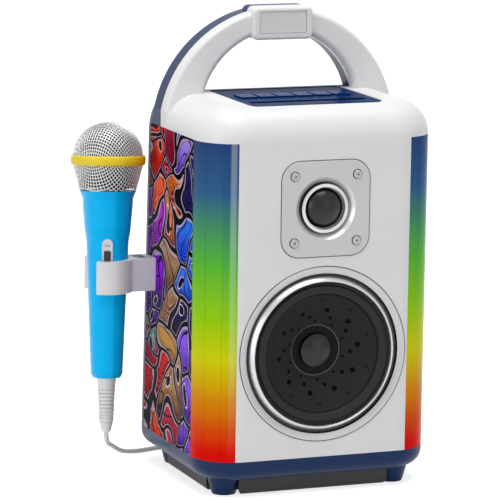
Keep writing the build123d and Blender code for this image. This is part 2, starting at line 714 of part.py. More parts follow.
with BuildPart() as light_bar:
    with BuildSketch(Plane.XY.offset(BASE_HEIGHT)):
        with Locations((ARC_X, ARC_Y)):
            Circle(CORNER_R)
            Circle(CORNER_R - BAR_WALL, mode=Mode.SUBTRACT)
        with Locations((BAR_EDGE + FIT / 2, ARC_Y)):
            Rectangle(3 * CORNER_R, 3 * CORNER_R, align=(Align.MAX, Align.CENTER), mode=Mode.SUBTRACT)
        with Locations((ARC_X, ARC_Y - FIT / 4)):
            Rectangle(3 * CORNER_R, 3 * CORNER_R, align=(Align.CENTER, Align.MIN), mode=Mode.SUBTRACT)
    extrude(amount=BAR_LENGTH - FIT / 2)
write(light_bar.part, "light_bar_right")
write(mirror(light_bar.part, about=Plane.YZ), "light_bar_left")

LED_ACROSS = sin(radians(45))
led_seat = Plane(
    origin=(ARC_X + LED_SEAT_R * LED_ACROSS, ARC_Y - LED_SEAT_R * LED_ACROSS, BASE_HEIGHT + BAR_LENGTH / 2),
    x_dir=(LED_ACROSS, LED_ACROSS, 0),
    z_dir=(LED_ACROSS, -LED_ACROSS, 0),
)
with BuildPart() as led_board:
    with BuildSketch(led_seat):
        Rectangle(LED_BOARD_WIDTH, BAR_LENGTH - 4 * WALL)
    extrude(amount=BOARD)
    with BuildSketch(led_seat.offset(BOARD)):
        with GridLocations(LED_BOARD_WIDTH, (BAR_LENGTH - 8 * WALL) / (LED_COUNT - 1), 1, LED_COUNT):
            Rectangle(LED_SIZE, LED_SIZE)
    extrude(amount=LED_HEIGHT)
write(led_board.part, "led_board_right")
write(mirror(led_board.part, about=Plane.YZ), "led_board_left")

# ---------------------------------------------------------------- control panel, board and keys
PANEL_UNDER = PANEL_TOP - PANEL_THICK
panel_centre = behind((PANEL_FRONT + PANEL_BACK) / 2)
KEY_GAP = 0.05  # between a resting key's flange and the panel
STEM_LONG = 6.5
STEM_R = 2.0
SWITCH_HIGH = 3.0
SWITCH_SIZE = 6.0
BUTTON_R = 1.7
BUTTON_HIGH = 0.6
BOARD_LONG = 31.0
BOARD_MARGIN = 2.5
BOARD_WIDE = KEY_COUNT * KEY_PITCH + 2 * BOARD_MARGIN
POST_R = 2.0
POST_INSET = 3.0  # a post's centre to the board's edges
key_flange_top = PANEL_UNDER - KEY_GAP
stem_low = key_flange_top - KEY_FLANGE - STEM_LONG
board_top = stem_low - KEY_TRAVEL - FIT - SWITCH_HIGH
posts = [
    (x * (BOARD_WIDE / 2 - POST_INSET), behind(KEY_CENTRE) + y * (BOARD_LONG / 2 - POST_INSET))
    for x in (-1, 1)
    for y in (-1, 1)
]

with BuildPart() as top_panel:
    with BuildSketch(Plane.XY.offset(PANEL_UNDER)):
        with Locations((0, panel_centre)):
            RectangleRounded(2 * PANEL_HALF, PANEL_BACK - PANEL_FRONT, PANEL_CORNER)
    extrude(amount=PANEL_THICK)
    chamfer(top_panel.faces().sort_by(Axis.Z)[-1].edges(), 0.4)
    # trough for a tablet
    with BuildSketch(Plane.XY.offset(PANEL_TOP - SLOT_DEEP - WEB)):
        with Locations((0, behind(SLOT_CENTRE))):
            RectangleRounded(SLOT_WIDTH + 2 * WEB, SLOT_GAP + 2 * WEB, WEB)
    extrude(amount=SLOT_DEEP + WEB - PANEL_THICK / 2)
    with BuildSketch(Plane.XY.offset(PANEL_TOP)):
        with Locations((0, behind(SLOT_CENTRE))):
            RectangleRounded(SLOT_WIDTH, SLOT_GAP, 1)
    extrude(amount=-SLOT_DEEP, mode=Mode.SUBTRACT)
    with BuildSketch(Plane.XY.offset(PANEL_TOP)):
        with Locations((0, behind(KEY_CENTRE))):
            with GridLocations(KEY_PITCH, KEY_PITCH, KEY_COUNT, 1):
                RectangleRounded(KEY_WIDTH + 2 * SLIDE_FIT, KEY_LENGTH + 2 * SLIDE_FIT, 1 + SLIDE_FIT)
    extrude(amount=-2 * PANEL_THICK, mode=Mode.SUBTRACT)
    with BuildSketch(Plane.XY.offset(board_top)):
        with Locations(posts):
            Circle(POST_R)
    extrude(amount=PANEL_UNDER - board_top + PANEL_THICK / 2)
write(top_panel.part, "top_panel")

with BuildPart() as control_board:
    with BuildSketch(Plane.XY.offset(board_top - BOARD)):
        with Locations((0, behind(KEY_CENTRE))):
            Rectangle(BOARD_WIDE, BOARD_LONG)
    extrude(amount=BOARD)
    with BuildSketch(Plane.XY.offset(board_top)):
        with Locations((0, behind(KEY_CENTRE))):
            with GridLocations(KEY_PITCH, KEY_PITCH, KEY_COUNT, 1):
                Rectangle(SWITCH_SIZE, SWITCH_SIZE)
    extrude(amount=SWITCH_HIGH - BUTTON_HIGH)
    with BuildSketch(Plane.XY.offset(board_top)):
        with Locations((0, behind(KEY_CENTRE))):
            with GridLocations(KEY_PITCH, KEY_PITCH, KEY_COUNT, 1):
                Circle(BUTTON_R)
    extrude(amount=SWITCH_HIGH)
write(control_board.part, "control_board")

key_names = ("power", "mode", "previous", "play", "next", "record")
for index, key_name in enumerate(key_names):
    key_x = (index - (KEY_COUNT - 1) / 2) * KEY_PITCH
    with BuildPart() as key:
        with BuildSketch(Plane.XY.offset(key_flange_top)):
            with Locations((key_x, behind(KEY_CENTRE))):
                RectangleRounded(KEY_WIDTH, KEY_LENGTH, 1)
        extrude(amount=PANEL_TOP + KEY_PROUD - key_flange_top)
        fillet(key.faces().sort_by(Axis.Z)[-1].edges(), 0.5)
        with BuildSketch(Plane.XY.offset(key_flange_top - KEY_FLANGE)):
            with Locations((key_x, behind(KEY_CENTRE))):
                RectangleRounded(KEY_WIDTH + 2 * KEY_FLANGE, KEY_LENGTH + 2 * KEY_FLANGE, 1)
        extrude(amount=KEY_FLANGE)
        with BuildSketch(Plane.XY.offset(stem_low)):
            with Locations((key_x, behind(KEY_CENTRE))):
                Circle(STEM_R)
        extrude(amount=STEM_LONG)
    write(key.part, f"key_{key_name}")


# ---------------------------------------------------------------- tweeter
def speaker_side(z):
    """Half-section plane of a speaker at a height: local x is radius, local y is depth."""
    return Plane(origin=(0, FRONT_Y, z), x_dir=(1, 0, 0), z_dir=(0, 0, 1))


def speaker_axis(z):
    """Axis of a speaker, pointing into the cabinet."""
    return Axis((0, FRONT_Y, z), (0, 1, 0))


well_floor = WELL_DEEP - PLATE_PROUD  # depths below count from the cabinet's front face
well_back = well_floor + WELL_WALL

with BuildPart() as tweeter_plate:
    with BuildSketch(facing(FRONT_Y + PLATE_THICK - PLATE_PROUD)):
        with Locations((0, TWEETER_Z)):
            RectangleRounded(PLATE_WIDTH, PLATE_HEIGHT, PLATE_CORNER)
    extrude(amount=PLATE_THICK)
    fillet(tweeter_plate.faces().sort_by(Axis.Y)[0].edges(), 0.5)
    with BuildSketch(facing(FRONT_Y - PLATE_PROUD)):
        with Locations((0, TWEETER_Z)):
            Circle(WELL_R + WELL_WALL / 2)
            with GridLocations(PLATE_SCREW, PLATE_SCREW, 2, 2):
                Circle(SCREW_R + FIT)
    extrude(amount=-2 * PLATE_THICK, mode=Mode.SUBTRACT)
    with BuildSketch(speaker_side(TWEETER_Z)):
        with BuildLine():
            Polyline(
                (WELL_R, -PLATE_PROUD),
                (WELL_FLOOR_R, well_floor),
                (DOME_R - 2 * WELL_WALL, well_floor),
                (DOME_R - 2 * WELL_WALL, well_back),
                (WELL_FLOOR_R + WELL_WALL, well_back),
                (WELL_R + WELL_WALL, PLATE_THICK - PLATE_PROUD),
                (WELL_R + WELL_WALL, -PLATE_PROUD),
                close=True,
            )
        make_face()
    revolve(axis=speaker_axis(TWEETER_Z))
write(tweeter_plate.part, "tweeter_plate")

with BuildPart() as tweeter_dome:
    with BuildSketch(speaker_side(TWEETER_Z)):
        with BuildLine():
            cap_arc(DOME_R, well_floor, DOME_RISE)
            Line((0, well_floor - DOME_RISE), (0, well_floor - DOME_RISE + DOME_WALL))
            cap_arc(DOME_R - 2 * DOME_WALL, well_floor, DOME_RISE - DOME_WALL)
            Line((DOME_R - 2 * DOME_WALL, well_floor), (DOME_R, well_floor))
        make_face()
    revolve(axis=speaker_axis(TWEETER_Z))
write(tweeter_dome.part, "tweeter_dome")

with BuildPart() as tweeter_magnet:
    with BuildSketch(facing(FRONT_Y + well_back + TWEETER_MAGNET_LENGTH)):
        with Locations((0, TWEETER_Z)):
            Circle(TWEETER_MAGNET_R)
    extrude(amount=TWEETER_MAGNET_LENGTH)
    chamfer(tweeter_magnet.edges().filter_by(GeomType.CIRCLE), 1)
write(tweeter_magnet.part, "tweeter_magnet")

with BuildPart() as tweeter_screws:
    with BuildSketch(facing(FRONT_Y - PLATE_PROUD)):
        with Locations((0, TWEETER_Z)):
            with GridLocations(PLATE_SCREW, PLATE_SCREW, 2, 2):
                Circle(SCREW_HEAD_R)
    extrude(amount=SCREW_HEAD)
    fillet(tweeter_screws.faces().group_by(Axis.Y)[0].edges(), 0.54 * SCREW_HEAD)
    with BuildSketch(facing(FRONT_Y - PLATE_PROUD)):
        with Locations((0, TWEETER_Z)):
            with GridLocations(PLATE_SCREW, PLATE_SCREW, 2, 2):
                Circle(SCREW_R)
    extrude(amount=-SCREW_LONG)
write(tweeter_screws.part, "tweeter_screws")


# ---------------------------------------------------------------- woofer
def woofer_ring_of(node, points):
    """Revolve a closed (radius, depth) outline about the woofer's axis and write it."""
    with BuildPart() as ring:
        with BuildSketch(speaker_side(WOOFER_Z)):
            with BuildLine():
                Polyline(*points, close=True)
            make_face()
        revolve(axis=speaker_axis(WOOFER_Z))
    write(ring.part, node)


TRIM_RISE = 1.2
TRIM_INNER_R = 57.6
RING_R = 55.0
RING_INNER_R = 51.6
RING_RISE = 0.5
woofer_ring_of(
    "woofer_trim",
    (
        (TRIM_R, TRIM_SEAT),
        (TRIM_R, -TRIM_RISE / 4),
        (TRIM_R - TRIM_RISE, -TRIM_RISE),
        (TRIM_INNER_R + TRIM_RISE, -TRIM_RISE / 2),
        (TRIM_INNER_R, 0),
        (TRIM_INNER_R, TRIM_SEAT),
    ),
)
woofer_ring_of(
    "woofer_ring",
    (
        (RING_R, WALL),
        (RING_R, 0),
        (RING_R - RING_RISE, -RING_RISE),
        (RING_INNER_R + 2 * RING_RISE, -RING_RISE),
        (RING_INNER_R, RING_RISE),
        (RING_INNER_R, WALL),
    ),
)

FLANGE_INNER_R = 48.8
flange_back = WALL + BASKET_FLANGE
LEDGE_DEEP = 24.0
LEDGE_R = 36.0
BASKET_FLOOR_HOLE_R = 15.0

with BuildPart() as woofer_basket:
    with BuildSketch(speaker_side(WOOFER_Z)):
        with BuildLine():
            Polyline(
                (BASKET_R, WALL),
                (FLANGE_INNER_R, WALL),
                (FLANGE_INNER_R, flange_back),
                (LEDGE_R, LEDGE_DEEP),
                (BASKET_FLOOR_R, LEDGE_DEEP),
                (BASKET_FLOOR_R, BASKET_DEEP - BASKET_WALL),
                (BASKET_FLOOR_HOLE_R, BASKET_DEEP - BASKET_WALL),
                (BASKET_FLOOR_HOLE_R, BASKET_DEEP),
                (BASKET_FLOOR_R + BASKET_WALL, BASKET_DEEP),
                (BASKET_FLOOR_R + BASKET_WALL, LEDGE_DEEP + BASKET_WALL),
                (LEDGE_R + BASKET_WALL, LEDGE_DEEP + BASKET_WALL),
                (FLANGE_INNER_R + BASKET_WALL, flange_back),
                (BASKET_R, flange_back),
                close=True,
            )
        make_face()
    revolve(axis=speaker_axis(WOOFER_Z))
    with BuildSketch(facing(FRONT_Y + flange_back + 1)):
        with Locations((0, WOOFER_Z)):
            with PolarLocations((FLANGE_INNER_R + LEDGE_R) / 2 + BASKET_WALL / 2, BASKET_WINDOWS):
                RectangleRounded(FLANGE_INNER_R - LEDGE_R - 4, LEDGE_R - 8, 2)
    extrude(amount=-(LEDGE_DEEP - flange_back - 2), mode=Mode.SUBTRACT)
    with BuildSketch(facing(FRONT_Y + WALL)):
        with Locations((0, WOOFER_Z)):
            with PolarLocations(WOOFER_SCREW_R, 4, start_angle=45):
                Circle(WOOFER_SCREW_HOLE_R)
    extrude(amount=-WALL, mode=Mode.SUBTRACT)
write(woofer_basket.part, "woofer_basket")

with BuildPart() as woofer_screws:
    with BuildSketch(facing(FRONT_Y + flange_back + WOOFER_HEAD)):
        with Locations((0, WOOFER_Z)):
            with PolarLocations(WOOFER_SCREW_R, 4, start_angle=45):
                Circle(WOOFER_HEAD_R)
    extrude(amount=WOOFER_HEAD)
    with BuildSketch(facing(FRONT_Y + flange_back)):
        with Locations((0, WOOFER_Z)):
            with PolarLocations(WOOFER_SCREW_R, 4, start_angle=45):
                Circle(WOOFER_SCREW_HOLE_R - FIT / 2)
    extrude(amount=BASKET_FLANGE + WALL - TRIM_SEAT - FIT)
write(woofer_screws.part, "woofer_screws")

POLE_R = COIL_R - 1.4
gap_outer_r = COIL_R + 1.4
with BuildPart() as woofer_magnet:
    with BuildSketch(speaker_side(WOOFER_Z)):
        with BuildLine():
            Polyline(
                (MAGNET_R, BASKET_DEEP),
                (gap_outer_r, BASKET_DEEP),
                (gap_outer_r, BASKET_DEEP + MAGNET_LENGTH - 4),
                (POLE_R, BASKET_DEEP + MAGNET_LENGTH - 4),
                (POLE_R, BASKET_DEEP),
                (0, BASKET_DEEP),
                (0, BASKET_DEEP + MAGNET_LENGTH),
                (MAGNET_R, BASKET_DEEP + MAGNET_LENGTH),
                close=True,
            )
        make_face()
    revolve(axis=speaker_axis(WOOFER_Z))
write(woofer_magnet.part, "woofer_magnet")

SURROUND_WALL = 0.6
SURROUND_GAP = 0.3  # between the still surround and the moving cone
ROLL_OUT_R = FLANGE_INNER_R - 0.2
ROLL_IN_R = CONE_R + SURROUND_GAP + SURROUND_WALL
ROLL_RISE = 3.2
roll_mid = (ROLL_OUT_R + ROLL_IN_R) / 2
with BuildPart() as woofer_surround:
    with BuildSketch(speaker_side(WOOFER_Z)):
        with BuildLine():
            Line((SURROUND_R, WALL), (ROLL_OUT_R, WALL))
            ThreePointArc((ROLL_OUT_R, WALL), (roll_mid, WALL - ROLL_RISE), (ROLL_IN_R, WALL))
            Line((ROLL_IN_R, WALL), (CONE_R + SURROUND_GAP, WALL))
            Line((CONE_R + SURROUND_GAP, WALL), (CONE_R + SURROUND_GAP, WALL - SURROUND_WALL))
            ThreePointArc(
                (CONE_R + SURROUND_GAP, WALL - SURROUND_WALL),
                (roll_mid, WALL - ROLL_RISE - SURROUND_WALL),
                (ROLL_OUT_R + SURROUND_WALL, WALL - SURROUND_WALL),
            )
            Line((ROLL_OUT_R + SURROUND_WALL, WALL - SURROUND_WALL), (SURROUND_R, WALL - SURROUND_WALL))
            Line((SURROUND_R, WALL - SURROUND_WALL), (SURROUND_R, WALL))
        make_face()
    revolve(axis=speaker_axis(WOOFER_Z))
write(woofer_surround.part, "woofer_surround")

SPIDER_WALL = 0.5
spider_in = COIL_R + 0.4 + SURROUND_GAP
spider_out = LEDGE_R - 1
woofer_ring_of(
    "woofer_spider",
    (
        (spider_in, LEDGE_DEEP),
        (spider_out, LEDGE_DEEP),
        (spider_out, LEDGE_DEEP - SPIDER_WALL),
        (BASKET_FLOOR_R - 1, LEDGE_DEEP - SPIDER_WALL),
        (BASKET_FLOOR_R - 4, LEDGE_DEEP - 4 * SPIDER_WALL),
        (BASKET_FLOOR_R - 7, LEDGE_DEEP - SPIDER_WALL),
        (BASKET_FLOOR_R - 10, LEDGE_DEEP - 4 * SPIDER_WALL),
        (BASKET_FLOOR_R - 13, LEDGE_DEEP - SPIDER_WALL),
        (spider_in, LEDGE_DEEP - SPIDER_WALL),
    ),
)

CONE_EDGE = WALL - SURROUND_WALL
with BuildPart() as woofer_cone:
    with BuildSketch(speaker_side(WOOFER_Z)):
        with BuildLine():
            Polyline(
                (CONE_R, CONE_EDGE),
                (CAP_RING_R, CONE_DEEP),
                (COIL_R - 0.4, CONE_DEEP),
                (COIL_R - 0.4, CONE_DEEP + CONE_WALL),
                (CAP_RING_R, CONE_DEEP + CONE_WALL),
                (CONE_R, CONE_EDGE + CONE_WALL + 0.2),
                close=True,
            )
        make_face()
    revolve(axis=speaker_axis(WOOFER_Z))
write(woofer_cone.part, "woofer_cone")

CAP_FLANGE = 0.6
CAP_STEP = 2.6
CAP_RISE = 3.6
cap_face = CONE_DEEP - CAP_FLANGE
cap_step = cap_face - CAP_STEP
inner_r = DUST_CAP_R - 2 * CAP_FLANGE
with BuildPart() as dust_cap:
    with BuildSketch(speaker_side(WOOFER_Z)):
        with BuildLine():
            cap_arc(DUST_CAP_R, cap_step, CAP_RISE)
            cap_arc(inner_r, cap_step, CAP_RISE - CAP_FLANGE)
            Line((0, cap_step - CAP_RISE), (0, cap_step - CAP_RISE + CAP_FLANGE))
            Polyline(
                (DUST_CAP_R, cap_step),
                (DUST_CAP_R + CAP_FLANGE, cap_face),
                (CAP_RING_R - FIT, cap_face),
                (CAP_RING_R - FIT, CONE_DEEP),
                (inner_r, CONE_DEEP),
                (inner_r, cap_step),
            )
        make_face()
    revolve(axis=speaker_axis(WOOFER_Z))
write(dust_cap.part, "dust_cap")

woofer_ring_of(
    "voice_coil",
    (
        (COIL_R + 0.4, CONE_DEEP + CONE_WALL),
        (COIL_R - 0.4, CONE_DEEP + CONE_WALL),
        (COIL_R - 0.4, BASKET_DEEP + MAGNET_LENGTH / 2),
        (COIL_R + 0.4, BASKET_DEEP + MAGNET_LENGTH / 2),
    ),
)

# ---------------------------------------------------------------- back panel
plate_outer = back_plane.offset(JACK_PLATE_THICK / 2)
plate_inner = back_plane.offset(-JACK_PLATE_THICK / 2)
JACK_AT = -33.0
USB_AT = -12.0
CHARGE_AT = 6.0
ROCKER_AT = 30.0
USB_SIZE = (13.1, 5.7, 12.0)
CHARGE_SIZE = (9.2, 3.4, 8.0)
PORT_WALL = 0.6
ROCKER_R = 9.5
ROCKER_DEEP = 4.0  # the rocker's pivot, below the plate's outer face

with BuildPart() as jack_panel:
    with BuildSketch(plate_inner):
        with Locations((0, JACK_PLATE_UP)):
            RectangleRounded(JACK_PLATE_WIDTH, JACK_PLATE_HEIGHT, 4)
    extrude(amount=JACK_PLATE_THICK)
    chamfer(jack_panel.faces().sort_by(Axis.Y)[-1].edges(), 0.5)
    # housing behind the power switch
    with BuildSketch(plate_inner):
        with Locations((ROCKER_AT, JACK_PLATE_UP)):
            Rectangle(ROCKER_WIDTH + 2 * WEB, 2 * ROCKER_R + 2 * WEB)
    extrude(amount=-2 * ROCKER_DEEP - WEB)
    with BuildSketch(plate_outer):
        with Locations((ROCKER_AT, JACK_PLATE_UP)):
            Rectangle(ROCKER_WIDTH + 2 * SLIDE_FIT, 2 * ROCKER_R + 2 * SLIDE_FIT)
    extrude(amount=-2 * ROCKER_DEEP - JACK_PLATE_THICK, mode=Mode.SUBTRACT)
    with BuildSketch(plate_outer):
        with Locations((JACK_AT, JACK_PLATE_UP)):
            Circle(JACK_BARREL_R)
        with Locations((USB_AT, JACK_PLATE_UP)):
            Rectangle(USB_SIZE[0], USB_SIZE[1])
        with Locations((CHARGE_AT, JACK_PLATE_UP)):
            SlotOverall(CHARGE_SIZE[0], CHARGE_SIZE[1])
    extrude(amount=-2 * JACK_PLATE_THICK, mode=Mode.SUBTRACT)
write(jack_panel.part, "jack_panel")

with BuildPart() as mic_jack:
    with BuildSketch(plate_outer):
        with Locations((JACK_AT, JACK_PLATE_UP)):
            Circle(JACK_BARREL_R + 2)
    extrude(amount=1.2)
    with BuildSketch(plate_outer):
        with Locations((JACK_AT, JACK_PLATE_UP)):
            Circle(JACK_BARREL_R)
    extrude(amount=-JACK_LENGTH)
    with BuildSketch(plate_outer.offset(1.2)):
        with Locations((JACK_AT, JACK_PLATE_UP)):
            Circle(JACK_R)
    extrude(amount=-JACK_LENGTH, mode=Mode.SUBTRACT)
write(mic_jack.part, "mic_jack")

with BuildPart() as usb_port:
    with BuildSketch(plate_outer):
        with Locations((USB_AT, JACK_PLATE_UP)):
            Rectangle(USB_SIZE[0], USB_SIZE[1])
    extrude(amount=-USB_SIZE[2])
    with BuildSketch(plate_outer):
        with Locations((USB_AT, JACK_PLATE_UP)):
            Rectangle(USB_SIZE[0] - 2 * PORT_WALL, USB_SIZE[1] - 2 * PORT_WALL)
    extrude(amount=PORT_WALL - USB_SIZE[2], mode=Mode.SUBTRACT)
    with BuildSketch(plate_outer.offset(-USB_SIZE[2])):
        with Locations((USB_AT, JACK_PLATE_UP + PORT_WALL)):
            Rectangle(USB_SIZE[0] - 3, 1.6)
    extrude(amount=USB_SIZE[2] - 1)
write(usb_port.part, "usb_port")

with BuildPart() as charge_port:
    with BuildSketch(plate_outer):
        with Locations((CHARGE_AT, JACK_PLATE_UP)):
            SlotOverall(CHARGE_SIZE[0], CHARGE_SIZE[1])
    extrude(amount=-CHARGE_SIZE[2])
    with BuildSketch(plate_outer):
        with Locations((CHARGE_AT, JACK_PLATE_UP)):
            SlotOverall(CHARGE_SIZE[0] - PORT_WALL, CHARGE_SIZE[1] - PORT_WALL)
    extrude(amount=PORT_WALL - CHARGE_SIZE[2], mode=Mode.SUBTRACT)
    with BuildSketch(plate_outer.offset(-CHARGE_SIZE[2])):
        with Locations((CHARGE_AT, JACK_PLATE_UP)):
            Rectangle(CHARGE_SIZE[0] - 3, 0.8)
    extrude(amount=CHARGE_SIZE[2] - 1)
write(charge_port.part, "charge_port")

rocker_pivot = plate_outer.offset(-ROCKER_DEEP).from_local_coords((ROCKER_AT, JACK_PLATE_UP, 0))
rocker_side = Plane(origin=rocker_pivot, x_dir=plate_outer.y_dir, z_dir=plate_outer.x_dir)
with BuildPart() as power_switch:
    with BuildSketch(rocker_side):
        Circle(ROCKER_R)
        with BuildLine():
            Polyline(
                (-2 * ROCKER_R, 2 * ROCKER_R),
                (-2 * ROCKER_R, ROCKER_DEEP + 1 + 2 * ROCKER_R * tan(radians(ROCKER_ANGLE))),
                (0, ROCKER_DEEP + 1),
                (2 * ROCKER_R, ROCKER_DEEP + 1 + 2 * ROCKER_R * tan(radians(ROCKER_ANGLE))),
                (2 * ROCKER_R, 2 * ROCKER_R),
                close=True,
            )
        make_face(mode=Mode.SUBTRACT)
        with Locations((0, -ROCKER_DEEP)):
            Rectangle(4 * ROCKER_R, 4 * ROCKER_R, align=(Align.CENTER, Align.MAX), mode=Mode.SUBTRACT)
    extrude(amount=ROCKER_WIDTH / 2, both=True)
rocker_axis = Axis(rocker_pivot, plate_outer.x_dir)
write(power_switch.part.rotate(rocker_axis, ROCKER_ANGLE / 2), "power_switch")

with BuildPart() as main_board:
    board_plane = back_plane.offset(-WALL - STANDOFF)
    with BuildSketch(board_plane):
        with Locations((0, MAIN_BOARD_UP)):
            Rectangle(MAIN_BOARD_WIDTH, MAIN_BOARD_HEIGHT)
    extrude(amount=-BOARD)
    with BuildSketch(board_plane.offset(-BOARD)):
        with Locations((-MAIN_BOARD_WIDTH / 5, MAIN_BOARD_UP + MAIN_BOARD_HEIGHT / 8)):
            Rectangle(AMPLIFIER_SIZE, AMPLIFIER_SIZE)
        with Locations((MAIN_BOARD_WIDTH / 6, MAIN_BOARD_UP + MAIN_BOARD_HEIGHT / 6)):
            Rectangle(RADIO_WIDTH, RADIO_HEIGHT)
        with Locations((MAIN_BOARD_WIDTH / 12, MAIN_BOARD_UP - MAIN_BOARD_HEIGHT / 8)):
            Rectangle(SOCKET_WIDTH, RADIO_WIDTH)
    extrude(amount=-CHIP_HIGH)
    capacitor_up = MAIN_BOARD_UP - MAIN_BOARD_HEIGHT / 2 + 4 * CAPACITOR_R
    with BuildSketch(board_plane.offset(-BOARD)):
        for across in (-0.35, -0.35 + 3 * CAPACITOR_R / MAIN_BOARD_WIDTH, 0.37):
            with Locations((across * MAIN_BOARD_WIDTH, capacitor_up)):
                Circle(CAPACITOR_R)
    extrude(amount=-CAPACITOR_HIGH)
write(main_board.part, "main_board")

# ---------------------------------------------------------------- microphone
turn = radians(MIC_TURN)
lean = radians(MIC_LEAN)
mic_up = Vector(sin(lean) * sin(turn), sin(lean) * cos(turn), cos(lean))
mic_across = Vector(cos(turn), -sin(turn), 0)
mic_middle = Vector(MIC_X, behind(MIC_DEPTH), MIC_Z)
mic_axis = Axis(mic_middle, mic_up)
mic_side = Plane(origin=mic_middle + mic_up * RING_UP, x_dir=mic_across, z_dir=mic_across.cross(mic_up))

BODY_R = 17.9  # radii of the body at its top, neck, grip and end
NECK_R = 16.5
GRIP_R = 15.3
TAIL_R = 11.6
NECK_END = 51.0
GRIP_START = 58.0
TAIL_START = 152.0
TAIL_ROUND = 1.5
COLLAR_R = 20.5
COLLAR_STEP = 5.5
SPIGOT = 4.0
CAPSULE_LONG = 22.0
FOAM_GAP = 0.1
SWITCH_PLATE = 1.2
SWITCH_PLATE_PROUD = 0.3
SLIDER_PROUD = 1.0


def mic_r(distance):
    """Radius of the microphone's grip at a distance below the band."""
    return GRIP_R - (GRIP_R - TAIL_R) * (distance - GRIP_START) / (TAIL_START - GRIP_START)


def mic_ring_of(node, points):
    """Revolve a closed outline of radii and heights above the band about the microphone's axis."""
    with BuildPart() as ring:
        with BuildSketch(mic_side):
            with BuildLine():
                Polyline(*points, close=True)
            make_face()
        revolve(axis=mic_axis)
    write(ring.part, node)


switch_mid = SWITCH_TOP + SWITCH_LONG / 2
mic_taper = atan2(GRIP_R - TAIL_R, TAIL_START - GRIP_START)
mic_front = mic_across.cross(mic_up)
switch_normal = mic_front * cos(mic_taper) - mic_up * sin(mic_taper)
switch_plane = Plane(
    origin=mic_middle + mic_up * (RING_UP - switch_mid) + mic_front * mic_r(switch_mid),
    x_dir=mic_across,
    z_dir=switch_normal,
)
slider_mid = switch_mid - SLIDER_TOP - SLIDER_LONG / 2

with BuildPart() as mic_body:
    with BuildSketch(mic_side):
        with BuildLine():
            Polyline(
                (0, -COLLAR_END - SPIGOT),
                (0, -COLLAR_END - SPIGOT - BODY_WALL),
                (NECK_R - BODY_WALL, -NECK_END),
                (GRIP_R - BODY_WALL, -GRIP_START),
                (TAIL_R - BODY_WALL, -TAIL_START),
                (0, -TAIL_START),
                (0, -BODY_END),
                (TAIL_R - TAIL_ROUND, -BODY_END),
                (TAIL_R, -BODY_END + 2 * TAIL_ROUND),
                (TAIL_R, -TAIL_START),
                (GRIP_R, -GRIP_START),
                (NECK_R, -NECK_END),
                (BODY_R, -COLLAR_END),
                (BODY_R - BODY_WALL, -COLLAR_END),
                (BODY_R - BODY_WALL, -COLLAR_END - SPIGOT),
                close=True,
            )
        make_face()
    revolve(axis=mic_axis)
    with BuildSketch(switch_plane.offset(SWITCH_PLATE_PROUD - SWITCH_PLATE)):
        RectangleRounded(SWITCH_WIDTH + FIT, SWITCH_LONG + FIT, SWITCH_WIDTH / 2 - 0.1)
    extrude(amount=3 * SWITCH_PLATE, mode=Mode.SUBTRACT)
write(mic_body.part, "mic_body")

with BuildPart() as mic_switch_plate:
    with BuildSketch(switch_plane.offset(SWITCH_PLATE_PROUD - SWITCH_PLATE)):
        RectangleRounded(SWITCH_WIDTH, SWITCH_LONG, SWITCH_WIDTH / 2 - 0.1)
    extrude(amount=SWITCH_PLATE)
    with BuildSketch(switch_plane.offset(SWITCH_PLATE_PROUD)):
        with Locations((0, slider_mid - SLIDER_TRAVEL / 2)):
            RectangleRounded(
                SLIDER_WIDTH + 2 * SLIDE_FIT, SLIDER_LONG + SLIDER_TRAVEL + 2 * SLIDE_FIT, 0.8
            )
    extrude(amount=-SWITCH_PLATE * 0.6, mode=Mode.SUBTRACT)
write(mic_switch_plate.part, "mic_switch_plate")

with BuildPart() as mic_switch:
    with BuildSketch(switch_plane.offset(SWITCH_PLATE_PROUD - SWITCH_PLATE * 0.6 + KEY_GAP)):
        with Locations((0, slider_mid)):
            RectangleRounded(SLIDER_WIDTH, SLIDER_LONG, 0.8)
    extrude(amount=SWITCH_PLATE * 0.6 - KEY_GAP + SLIDER_PROUD)
    fillet(mic_switch.faces().sort_by(Axis(mic_middle, mic_front))[-1].edges(), 0.3)
write(mic_switch.part, "mic_switch")

mic_ring_of(
    "mic_collar",
    (
        (0, -GRILLE_END),
        (COLLAR_R, -GRILLE_END),
        (BODY_R + 0.4, -GRILLE_END - COLLAR_STEP),
        (BODY_R, -COLLAR_END),
        (BODY_R - BODY_WALL, -COLLAR_END),
        (BODY_R - BODY_WALL, -COLLAR_END - SPIGOT),
        (0, -COLLAR_END - SPIGOT),
    ),
)

mic_ring_of(
    "mic_grille_lower",
    (
        (BALL_R, 0),
        (BALL_R, -BAND_HALF),
        (COLLAR_R, -GRILLE_END),
        (COLLAR_R - MESH, -GRILLE_END),
        (BALL_R - MESH, -BAND_HALF),
        (BALL_R - MESH, 0),
    ),
)

with BuildPart() as mic_grille_upper:
    with BuildSketch(mic_side):
        with BuildLine():
            Line((BALL_R, 0), (BALL_R, BALL_UP))
            CenterArc((0, BALL_UP), BALL_R, 0, 90)
            Line((0, BALL_UP + BALL_R), (0, BALL_UP + BALL_R - MESH))
            CenterArc((0, BALL_UP), BALL_R - MESH, 0, 90)
            Line((BALL_R - MESH, BALL_UP), (BALL_R - MESH, 0))
            Line((BALL_R - MESH, 0), (BALL_R, 0))
        make_face()
    revolve(axis=mic_axis)
write(mic_grille_upper.part, "mic_grille_upper")

with BuildPart() as mic_band:
    with BuildSketch(mic_side):
        with Locations((BALL_R, 0)):
            Rectangle(BAND_R - BALL_R, 2 * BAND_HALF, align=(Align.MIN, Align.CENTER))
    revolve(axis=mic_axis)
    rims = mic_band.edges().filter_by(GeomType.CIRCLE).sort_by(SortBy.RADIUS)[-2:]
    fillet(rims, 1.0)
write(mic_band.part, "mic_band")

